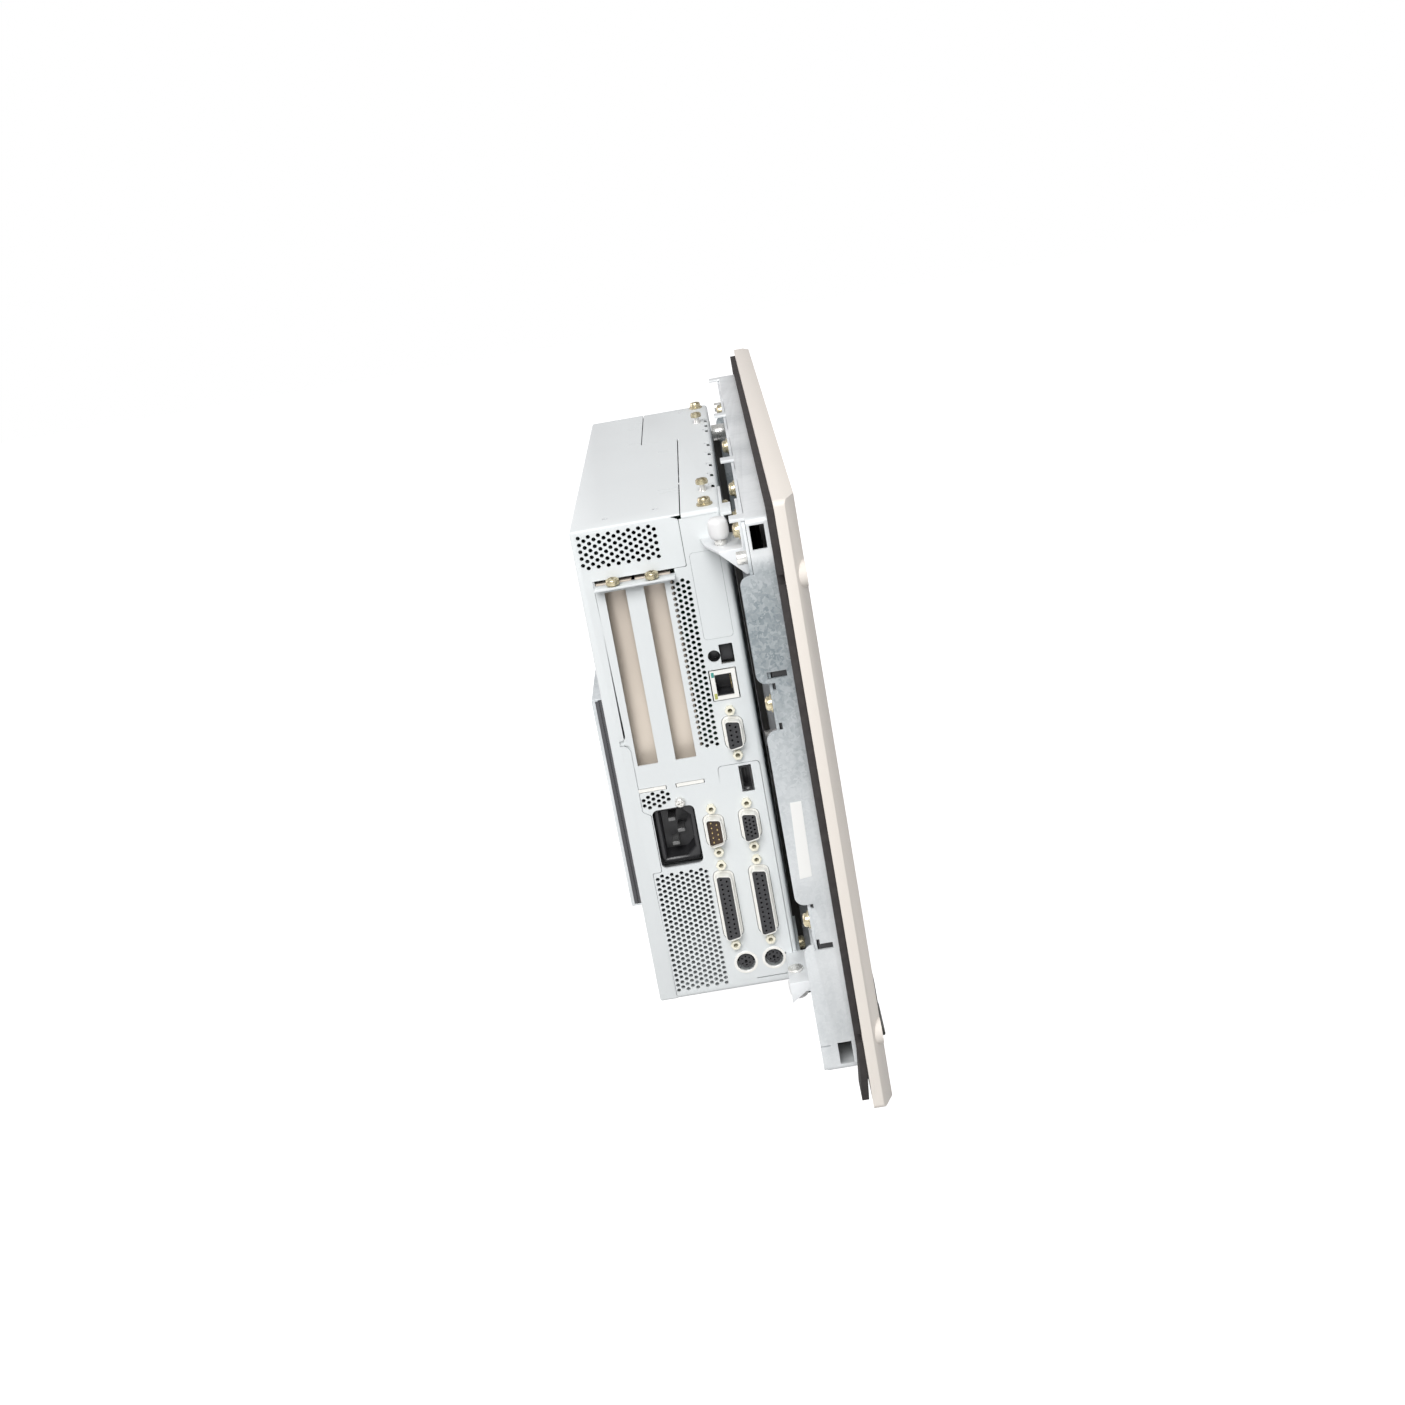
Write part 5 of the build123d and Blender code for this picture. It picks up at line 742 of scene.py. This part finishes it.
def make_hood():
    """Hood: rear wall, stepped top, vented flap and the strip along the port side."""
    shell = sheet_box(
        (box_left, hood_top_edge + top_seam, box_bottom), (box_right, box_back, box_top), (0, -1, 0),
        hood_sheet, hood_bend)
    port_clear = rounded([
        (43.0, 131.6, 0), (51.0, 131.6, 0), (47.0, 129.6, 1.0), (47.0, 104.8, 1.0), (95.8, 104.8, 0.4),
        (94.4, 17.2, 2.5), (98.0, 17.0, 0.3), (98.0, 13.9, 0.3), (93.0, 13.9, 4.0), (93.0, -24.2, 1.0),
        (89.0, -27.0, 1.0), (89.0, -59.6, 1.0), (94.0, -59.6, 1.0), (93.4, -137.0, 0), (43.0, -137.0, 0),
    ])
    # The blocks start a little in front of the hood's edge, those at its free side on planes of their own
    far, near = box_right + cut_reach, box_right - cut_reach
    low, high = box_bottom - cut_reach, box_top + cut_reach
    front = 43.0 * MM
    cutters = [
        port_prisms([port_clear], high=2.2),
        block((box_left + 2.0 * MM, front, low), (far, strip_edge + seam, box_bottom + cut_reach)),
        block((near, front - MM, low), (far, strip_edge + seam, flap_low + seam)),
        block((step_x - seam, front, box_top - cut_reach), (far + MM, step_edge + top_seam, high)),
        through_top(line_outlines()), through_top(dimples(rear_dimples)),
        block((near, front - 2 * MM, flap_low - MM), (far, step_edge + seam, box_top)),
        port_prisms(vent_holes(59.9, 98.9, 112.2, 128.6, 16, 5)),
    ]
    add_piece("hood_sheet", cut_mesh(shell, *cutters), COMPUTER, "unit_sheet", "hood")


make_chassis()
make_hood()


# Plates and connectors of the port side
def ease_node(body, node, finish, edge, slot=None):
    """Stand a copy with rounded edges in for a CAD node."""
    add_piece(node + "_eased", eased_copy(node, edge), body, finish, node)


def make_port_plates():
    """Connector plate that widens round the mouse socket, and the cover over the card slot."""
    io_outline = rounded([
        (27.6, -129.6, 3.0), (60.4, -129.6, 4.0), (60.4, -111.8, 2.5), (50.9, -111.8, 1.0),
        (50.9, -51.5, 1.0), (49.5, -6.1, 2.0), (27.6, -6.1, 2.0)])
    openings = connector_holes([nine_way[1], wide_way[0]]) + [rectangle(32.2, -22.3, 38.9, -7.3, 0.3)]
    openings += [circle(y, round_socket_z, round_socket_hole, 28) for y in round_sockets]
    openings.append(rectangle(31.0, -120.6, 31.9, -117.2, 0.3))
    add_piece("io_plate_rim", eased_copy("io_plate", 0.05), COMPUTER, "unit_sheet", "io_plate")
    plate = cut_mesh(port_prisms([io_outline], -0.12, 0.9), port_prisms(openings))
    add_piece("connector_plate", plate, COMPUTER, "unit_sheet")
    add_piece("card_cover_plate", port_prisms([rectangle(*card_box)], -0.02, 1.1), COMPUTER, "unit_sheet",
              "card_cover")


def make_shells():
    """Metal shells of the D-shaped connectors: a rounded lip round each core, and the flange in the wall."""
    for node, connectors in (("nine_way_shells", nine_way), ("wide_shells", wide_way)):
        parts = []
        for connector in connectors:
            inner = dsub_outline(connector, -lip_wall, 1.4)
            lip = cut_mesh(port_prisms([dsub_outline(connector, 0, 2.4)], nose, 0.5),
                           port_prisms([inner], nose - 1, 1))
            flange = port_prisms([dsub_outline(connector, 2.3, 3.3)], 0.2, 1.0)
            parts += [round_edges(lip, 0.4), cut_mesh(flange, port_prisms([inner], nose, 3))]
        add_piece(node + "_formed", merged(*parts), COMPUTER, "connector_metal", node)


def make_jack_screws():
    """Hexagonal posts with a threaded hole beside each connector."""
    bore = prism(circle(0, 0, 1.3, 20), -1 * MM, 9 * MM)
    post = round_edges(cut_mesh(prism(circle(0, 0, 2.75, 6), 0, 2.4 * MM), bore), 0.2, 2)
    shank = cut_mesh(prism(circle(0, 0, 1.65, 20), 2.3 * MM, 8.0 * MM), bore)
    parts = []
    for y, z, _, pitch in nine_way + wide_way:
        for side in (-1, 1):
            place = at_port(-2.55, y, z + side * pitch / 2)
            parts += [(post, place), (shank, place)]
    add_piece("jack_posts", join_meshes(parts), COMPUTER, "jack_metal", "jack_screws", smooth=32)


def make_linings():
    """Black sleeve of painted shade in the USB port, the network socket's back and face frame, slot plates'
    tails.
    """
    # Black sleeve inside the USB shell's metal walls: painted shade, closed by a dark back
    usb_sleeve_shade = cut_mesh(
        port_block((0.35, 32.95, -21.55), (13.5, 38.15, -8.05)),
        port_block((-1, 33.5, -21.0), (10, 37.6, -8.6)))
    back = port_block((12.4, 33.9, 32.6), (12.9, 42.9, 44.5))
    add_piece("port_shade_and_back", merged(usb_sleeve_shade, back), COMPUTER, "black_moulding",
              smooth=0)
    # Set high, the plug's dark floor covers the pins' shafts: painted shade where they lie in shadow
    floor = port_prisms([dsub_outline(nine_way[2], -lip_wall, 1.3)], nose + 2.5, flange_depth)
    add_piece("plug_floor", floor, COMPUTER, "plug_moulding", smooth=0)
    face = cut_mesh(port_prisms([rectangle(31.7, 30.5, 45.1, 46.7, 0.4)], -0.5, 0.2),
                    port_prisms([rectangle(33.95, 32.7, 42.85, 44.45, 0.2)], -1, 1))
    add_piece("network_face", face, COMPUTER, "connector_metal")
    tails = port_prisms(column_rectangles(tail_shift, 7.3, -13.35, -11.45, 0.3), 0.3, 1.0)
    add_piece("slot_plate_tails", tails, COMPUTER, "connector_metal", smooth=0)


def contact_places(y, z, rows):
    """Centre of each contact in a connector's rows."""
    return [(y + shift, z + rise + (i - (count - 1) / 2) * pitch)
            for shift, count, pitch, rise in rows for i in range(count)]


def make_sockets():
    """Moulded cores of the D-shaped sockets with their contact holes, and the plug's pins."""
    for node, sockets in (
            ("nine_way_sockets", [(nine_way[0], nine_rows), (nine_way[1], video_rows)]),
            ("wide_sockets", [(connector, wide_rows) for connector in wide_way])):
        parts = []
        for connector, rows in sockets:
            y, z, length, _ = connector
            core = port_prisms([dsub_outline(connector, -lip_wall, 1.3)], nose + 0.6, flange_depth)
            holes = [circle(*centre, contact_hole_radius, 8) for centre in contact_places(y, z, rows)]
            parts.append(cut_mesh(core, port_prisms(holes, nose - 1, nose + 4.5)))
            reach = length * 0.55
            parts.append(port_block((flange_depth, y - 5.5, z - reach),
                                    (flange_depth + 12, y + 3.4, z + reach), 0.3))
        add_piece(node + "_moulded", merged(*parts), COMPUTER, "grey_moulding", node)
    pin = lathe_mesh([(0, 0), (0.3, 0.05), (0.4, 0.4), (0.4, 5.4), (0, 5.4)], 12)
    pins = [(pin, at_port(nose + 1.2, *centre)) for centre in contact_places(*nine_way[2][:2], nine_rows)]
    add_piece("plug_pins", join_meshes(pins), COMPUTER, "gilt", "serial_plug_pins", smooth=0)


def make_network_socket():
    """Network socket: folded can, liner with a stepped mouth, contacts and two indicator windows."""
    ease_node(COMPUTER, "ethernet_socket", "connector_metal", 0.2)
    liner = [
        port_block((0.3, low_y, low_z), (13.0, high_y, high_z), 0.1) for low_y, high_y, low_z, high_z in (
            (33.92, 34.5, 32.66, 44.5), (42.2, 42.88, 32.66, 35.4), (42.2, 42.88, 41.8, 44.5),
            (33.92, 42.88, 32.66, 33.2), (33.92, 42.88, 43.95, 44.5))]
    add_piece("network_liner", merged(*liner), COMPUTER, "black_moulding", smooth=0)
    middle, pitch, half_width = 38.58, 1.02, 0.18
    heights = [middle + (i - 3.5) * pitch for i in range(8)]
    strands = [port_block((3.4, 34.6, z - half_width), (11, 34.95, z + half_width), 0.05) for z in heights]
    add_piece("network_contacts", merged(*strands), COMPUTER, "gilt", smooth=0)
    for name, low_z, high_z, finish in (
            ("upper_window", 43.2, 46.0, "window_teal"), ("lower_window", 31.2, 34.4, "window_amber")):
        add_piece(name, port_block((-0.62, 42.95, low_z), (1.5, 44.5, high_z), 0.15), COMPUTER, finish,
                  smooth=0)


def make_round_sockets():
    """Keyboard and mouse sockets: ring, recessed face with contact holes and the key."""
    ease_node(COMPUTER, "din_sockets", "black_moulding", 0.15)
    face_depth, contact_ring, z = 1.6, 2.4, round_socket_z
    parts = []
    for y in round_sockets:
        holes = [circle(y + contact_ring * math.cos(a), z + contact_ring * math.sin(a), 0.5, 8)
                 for a in [math.radians(d) for d in (35, 90, 145, 215, 270, 325)]]
        holes.append(rectangle(y - 0.7, z - 1.4, y + 0.7, z + 0.4, 0.2))
        face = port_prisms([circle(y, z, 3.9, 28)], face_depth, face_depth + 6.2)
        parts.append(cut_mesh(face, port_prisms(holes, face_depth - 1, face_depth + 4)))
    add_piece("round_socket_faces", merged(*parts), COMPUTER, "grey_moulding")


make_port_plates()
make_shells()
make_jack_screws()
make_linings()
add_piece("mains_inlet_rounded", eased_copy("mains_inlet", 0.55), COMPUTER, "black_moulding", "mains_inlet")
make_sockets()
make_network_socket()
make_round_sockets()
# CAD nodes with rounded edges: node, finish, radius in millimetres, and a slot where it isn't the usual
eased_nodes = {
    COMPUTER: [
        ("serial_plug", "plug_moulding", 0.15), ("usb_shell", "connector_metal", 0.1),
        ("usb_tongue", "black_moulding", 0.15, "socket_plastic"), ("inlet_pins", "inlet_pins_painted_shade", 0.25),
        ("slot_plates", "warm_steel", 0.15), ("hinge_leaves", "unit_sheet", 0.25),
        ("catch_ears", "unit_sheet", 0.25), ("catch_screws", "bright_steel", 0.3),
        ("drive_cover", "galvanised", 0.3), ("fan_frame", "black_moulding", 0.5)],
    OPERATOR: [
        ("bezel", "panel_paint", 0.6), ("tray_rear_plate", "galvanised", 0.2),
        ("hinge_brackets", "bracket_zinc", 0.3), ("hinge_pins", "bright_steel", 0.25),
        ("guide_pins", "bright_steel", 0.4), ("catch_spacers", "bright_steel", 0.3),
        ("gasket_side_strips", "gasket_foam", 0.4), ("gasket_cross_strips", "gasket_foam", 0.4),
        ("front_port", "connector_metal", 0.1)],
    "eject_button": [("eject_button", "grey_moulding", 0.3, "black_plastic")],
    "reset_button": [("reset_button", "black_moulding", 0.3)],
    "disc_tray": [("disc_tray", "drive_grey", 0.3)],
    "drive_button": [("drive_button", "drive_grey", 0.2)],
    "fan_rotor": [("fan_rotor", "black_moulding", 0.4)],
}
for rider, rows in eased_nodes.items():
    for row in rows:
        ease_node(rider, *row)


# Screws, in millimetres
head_radius, head_height = 3.6, 2.6
washer_height = 0.8
shank_radius = 1.9
cross_turn = 0.4


def cross_screw(washer, shank):
    """Pan screw on a washer, with a cross recess, seated at local Z 0, its shank towards -Z."""
    crown = [(head_radius * share_r, washer_height + head_height * share_z) for share_r, share_z in (
        (1.0, 0.0), (1.0, 0.42), (0.96, 0.62), (0.86, 0.82), (0.66, 0.96), (0.40, 1.0), (0.0, 1.0))]
    head = lathe_mesh([(0, washer_height)] + crown, 28)
    arm, wide = head_radius * 0.56, head_radius * 0.15
    low, high = washer_height + head_height * 0.35, washer_height + head_height * 2
    head = cut_mesh(head, *[
        prism(rectangle(-arm, -wide, arm, wide), low * MM, high * MM,
              Matrix.Rotation(turn + cross_turn, 4, "Z"))
        for turn in (0, math.pi / 2)])
    ring = lathe_mesh([
        (0, 0), (washer * 0.97, 0), (washer, 0.12), (washer, washer_height - 0.15),
        (washer * 0.96, washer_height), (0, washer_height)], 32)
    rod = lathe_mesh([(0, -shank), (shank_radius, -shank), (shank_radius, 0), (0, 0)], 16)
    return smooth_mesh(merged(head, ring, rod), 32)


def screw_set(name, template, places, body, node):
    """Several screws from one template as one piece."""
    add_piece(name, join_meshes([(template, place) for place in places]), body, "gold_zinc", node, smooth=0)


def rear_facing(x, y, z):
    """Place whose local Z runs to the rear."""
    return facing((x, y, z), (-1, 0, 0), (0, 0, 1))


tray_half_width, tab_inset = 213.0 * MM, 6.5 * MM
tab_x = tray_half_width - tab_inset
plate_back = 15.5 * MM
tray_places = [(side * tab_x, z * MM) for side in (-1, 1) for z in (49.0, -66.0)]
tray_places += [(x * MM, 134.0 * MM) for x in (-108.0, 7.0, 128.0)]
tray_places = [rear_facing(x, plate_back, z) for x, z in tray_places]
screw_set("tray_screw_set", cross_screw(4.6, 4.5), tray_places, OPERATOR, "tray_screws")
bracket_low, bracket_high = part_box("bracket_screws")
washer_radius, bracket_sheet = 4.6 * MM, 1.5 * MM
bracket_x = (bracket_low[0] + washer_radius, bracket_high[0] - washer_radius)
bracket_z = (bracket_high[2] - washer_radius, bracket_low[2] + washer_radius)
bracket_places = [rear_facing(x, plate_back + bracket_sheet, z) for x in bracket_x for z in bracket_z]
screw_set("bracket_screw_set", cross_screw(4.6, 4.0), bracket_places, OPERATOR, "bracket_screws")
case_screw = cross_screw(3.6, 1.9)
case_places = [Matrix.Translation((ledge_screw_x, y * MM, ledge_top + 0.9 * MM)) for y in slot_columns]
case_places += [facing((box_left + 28.0 * MM, box_front - 1.5 * MM, z), (1, 0, 0), (0, 0, 1))
                for z in (box_top - 7.0 * MM, box_bottom + 7.0 * MM)]
earth_place = at_port(0, 72.4, -21.7, -1) @ Matrix.Scale(0.75, 4)
add_piece("earth_screw", join_meshes([(case_screw, earth_place)]), COMPUTER, "bright_steel", smooth=0)
screw_set("case_screw_set", case_screw, case_places, COMPUTER, "case_screws")


# Details that the photograph shows
def make_bushes():
    """Bulging nylon bushes round the two hinge pins."""
    low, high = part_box("hinge_bushes")
    hinge_x, hinge_y = (low[0] + high[0]) / 2, 27.3 * MM
    height = 11.0
    upside_down = Matrix.Rotation(math.pi, 4, "X")
    bush = lathe_mesh([
        (2.6, 0.0), (3.5, 0.0), (4.4, 0.7), (5.0, 2.0), (5.15, 3.6), (5.15, 6.4), (4.95, 8.4), (4.3, 10.0),
        (3.2, 10.8), (0, height)], 40)
    bushes = join_meshes([
        (bush, Matrix.Translation((hinge_x, hinge_y, high[2] - height * MM))),
        (bush, Matrix.Translation((hinge_x, hinge_y, low[2] + height * MM)) @ upside_down)])
    add_piece("nylon_bushes", bushes, COMPUTER, "nylon", "hinge_bushes", smooth=0)


def make_painted_shade_trim():
    """Dark rubber edging on the rear plate's folds and black films in the tray's side walls, both painted
    shade.
    """
    plate_low, plate_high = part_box("tray_rear_plate")
    fold_x, fold_z, fold_edge = plate_high[0] - 17.0 * MM, plate_low[2], plate_high[1]
    front, back, far = fold_edge - 3.5 * MM, fold_edge + 6.0 * MM, 300 * MM
    groove = fold_edge + 0.05 * MM
    # Dark edging on the folds: painted shade in the gap beside the tray
    upright = cut_mesh(
        block((fold_x - 2.7 * MM, front, fold_z + 0.5 * MM), (fold_x + 1.2 * MM, back, fold_z + 254.6 * MM)),
        block((fold_x - 1.55 * MM, 0, -far), (fold_x + 0.05 * MM, groove, far)))
    level = cut_mesh(
        block((fold_x - 324.5 * MM, front, fold_z - 1.2 * MM), (fold_x - 3.0 * MM, back, fold_z + 2.7 * MM)),
        block((-far, 0, fold_z - 0.05 * MM), (far, groove, fold_z + 1.55 * MM)))
    edging = merged(round_edges(upright, 0.4), round_edges(level, 0.4))
    add_piece("fold_shade_edging", edging, OPERATOR, "cover_rubber")
    tray_low, tray_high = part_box("display_tray")
    # Thin black films inside the tray's side walls: painted shade inside the tray
    films = [
        block((x, 1.2 * MM, -126.0 * MM), (x + 0.3 * MM, 13.4 * MM, 118.0 * MM))
        for x in (tray_low[0] + 1.7 * MM, tray_high[0] - 2.0 * MM)]
    add_piece("tray_shade_films", merged(*films), OPERATOR, "black_moulding", smooth=0)


def make_drive_frame():
    """Dark frame above the optical drive's mouth, inside the hem of its cover."""
    cover_low, cover_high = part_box("drive_cover")
    case_low, case_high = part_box("drive_case")
    drive_frame = block((cover_low[0] - 0.15 * MM, case_high[1] - 0.2 * MM, case_low[2]),
                        (cover_low[0] + 1.2 * MM, cover_high[1] - 1.9 * MM, case_high[2]), 0.2 * MM)
    add_piece("drive_frame", drive_frame, COMPUTER, "drive_grey", smooth=0)


def make_rings():
    """Bright rims round the keyboard and mouse sockets."""
    rim = lathe_mesh([(5.05, 0), (5.05, 0.21), (5.17, 0.3), (6.38, 0.3), (6.5, 0.21), (6.5, 0)], 36)
    rims = join_meshes([(rim, at_port(-0.1, y, round_socket_z, -1)) for y in round_sockets])
    add_piece("round_socket_rims", rims, COMPUTER, "connector_metal", smooth=0)


def make_stand_screws():
    """Screws that stand on the top: two with a wide flange, two on a stud."""
    wide = lathe_mesh([
        (0, 0), (4.1, 0), (4.3, 0.3), (4.2, 1.0), (3.4, 1.2), (3.3, 3.2), (2.9, 3.9), (1.6, 4.2),
        (0, 4.2)], 28)
    stud = lathe_mesh([(0, 0), (2.0, 0), (1.7, 1.0), (1.5, 3.2), (1.9, 3.9), (0, 3.9)])
    small = lathe_mesh([(0, 3.9), (3.2, 3.9), (3.4, 4.4), (3.3, 6.0), (2.6, 6.8), (1.2, 7.1), (0, 7.1)])
    slot, slot_turn = rectangle(-3.5, -0.45, 3.5, 0.45), Matrix.Rotation(0.5, 4, "Z")
    wide, small = [
        cut_mesh(head, prism(slot, level * MM, (level + 3) * MM, slot_turn))
        for head, level in ((wide, 3.2), (small, 6.1))]
    row_y = 32.5 * MM
    wide_places, small_places = [
        [Matrix.Translation((x, row_y, box_top)) for x in (box_left + near * MM, box_right - far * MM)]
        for near, far in ((10.5, 8.5), (43.5, 62.5))]
    heads = join_meshes([(wide, place) for place in wide_places] + [(small, place) for place in small_places])
    add_piece("stand_screw_heads", heads, COMPUTER, "gold_zinc", "stand_screws", smooth=32)
    studs = join_meshes([(stud, place) for place in small_places])
    add_piece("stand_screw_studs", studs, COMPUTER, "bright_steel", smooth=32)


def make_label_plate():
    """Bare white plate stuck on the tray's side."""
    outline = rounded([(9.8, -0.5, 0.3), (15.3, -0.6, 0.3), (16.8, -40.8, 0.3), (10.7, -40.2, 0.3)])
    plate = prism(outline, -tray_half_width - 0.18 * MM, -tray_half_width + 0.1 * MM, port_place)
    add_piece("label_plate", plate, OPERATOR, "paper_white")


def make_tray():
    """Display tray with its sharp edges eased, a rounded lower corner and the slit above it."""
    low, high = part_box("display_tray")
    back, bottom, radius = high[1], low[2], 5.0 * MM
    corner = arc_points((back - radius, bottom + radius), radius, -math.pi / 2, 0, 6) + [
        (back + MM, bottom + radius), (back + MM, bottom - MM), (back - radius, bottom - MM)]
    slit = rounded([(15.6, -133.4, 0.4), (23.0, -133.4, 0), (23.0, -132.4, 0), (15.6, -132.4, 0.4)])
    tray = cut_mesh(eased_copy("display_tray", 0.25), *[
        prisms([corner, slit], left, right, port_place)
        for left, right in ((low[0] - MM, low[0] + 3 * MM), (high[0] - 3 * MM, high[0] + MM))])
    add_piece("display_tray_eased", tray, OPERATOR, "galvanised", "display_tray")


def make_port_cover():
    """Rubber cover: a thin strap at its hinge and a thick body with a flared lower end."""
    low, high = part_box("port_cover")
    back, top, bottom = high[1], high[2], low[2]
    profile = [(back - y * MM, bottom + z * MM) for y, z in ((0, 0), (4.2, 0.2), (4.4, 1.2), (3.2, 6.0))]
    strap = ((3.0, 14.0), (2.4, 11.5), (1.0, 9.6), (0.8, 0), (0, 0))
    profile += [(back - y * MM, top - z * MM) for y, z in strap]
    cover = round_edges(prism(profile, low[0], high[0], port_place), 0.5)
    add_piece("port_cover_moulded", cover, "port_cover", "cover_rubber", "port_cover")


make_bushes()
make_painted_shade_trim()
make_drive_frame()
make_rings()
make_stand_screws()
make_label_plate()
make_tray()
make_port_cover()


# Floor, backdrop and lights
surround_level = 0.48
floor_drop = 0.02
stage_reach = 3.0
lamp_size = 1.6


def seen_directly(tree, second_ray):
    """One for the camera's own rays and for one other kind of ray, nothing for the rest."""
    rays = add_node(tree, "LightPath").outputs
    return calculate(tree, "MAXIMUM", rays["Is Camera Ray"], rays[second_ray])


def make_floor():
    """Wide pale floor under the object, white to the camera and in reflections."""
    material = bpy.data.materials.new("floor_white")
    material.use_nodes = True
    tree = material.node_tree
    feed(tree, tree.nodes["Principled BSDF"], {
        "Base Color": (0.3, 0.3, 0.3, 1), "Roughness": 0.9, "Emission Color": (1, 1, 1, 1),
        "Emission Strength": seen_directly(tree, "Is Glossy Ray")})
    work = bmesh.new()
    bmesh.ops.create_grid(work, x_segments=2, y_segments=2, size=stage_reach)
    mesh = new_mesh(work)
    mesh.materials.append(material)
    floor = new_object("floor", mesh)
    floor.location = (0, 0, cad_box[0][2] - floor_drop)


def make_world():
    """Even pale surroundings, white to the camera."""
    world = bpy.data.worlds.new("surroundings")
    bpy.context.scene.world = world
    world.use_nodes = True
    tree = world.node_tree
    seen = seen_directly(tree, "Is Transmission Ray")
    feed(tree, tree.nodes["Background"], {
        "Color": (1, 1, 1, 1), "Strength": remap(tree, seen, 0.0, 1.0, surround_level, 1.0)})


def area_lamp(name, place, target, power, colour=(1.0, 1.0, 1.0)):
    """Soft square lamp that faces a point."""
    lamp = bpy.data.lights.new(name, "AREA")
    lamp.shape = "SQUARE"
    lamp.size = lamp_size
    lamp.energy = power
    lamp.color = colour
    lamp_object = new_object(name, lamp)
    lamp_object.location = place
    lamp_object.rotation_euler = (Vector(target) - Vector(place)).to_track_quat("-Z", "Y").to_euler()


make_floor()
make_world()
area_lamp("key_lamp", (-2.20, 0.45, 1.90), (0, 0.05, 0), 80.0)
area_lamp("rear_lamp", (0.9, 2.4, 0.9), (0, 0.05, 0), 22.0, (1.0, 0.91, 0.96))
area_lamp("front_lamp", (1.2, -2.4, 0.8), (0, 0, 0), 3.0)
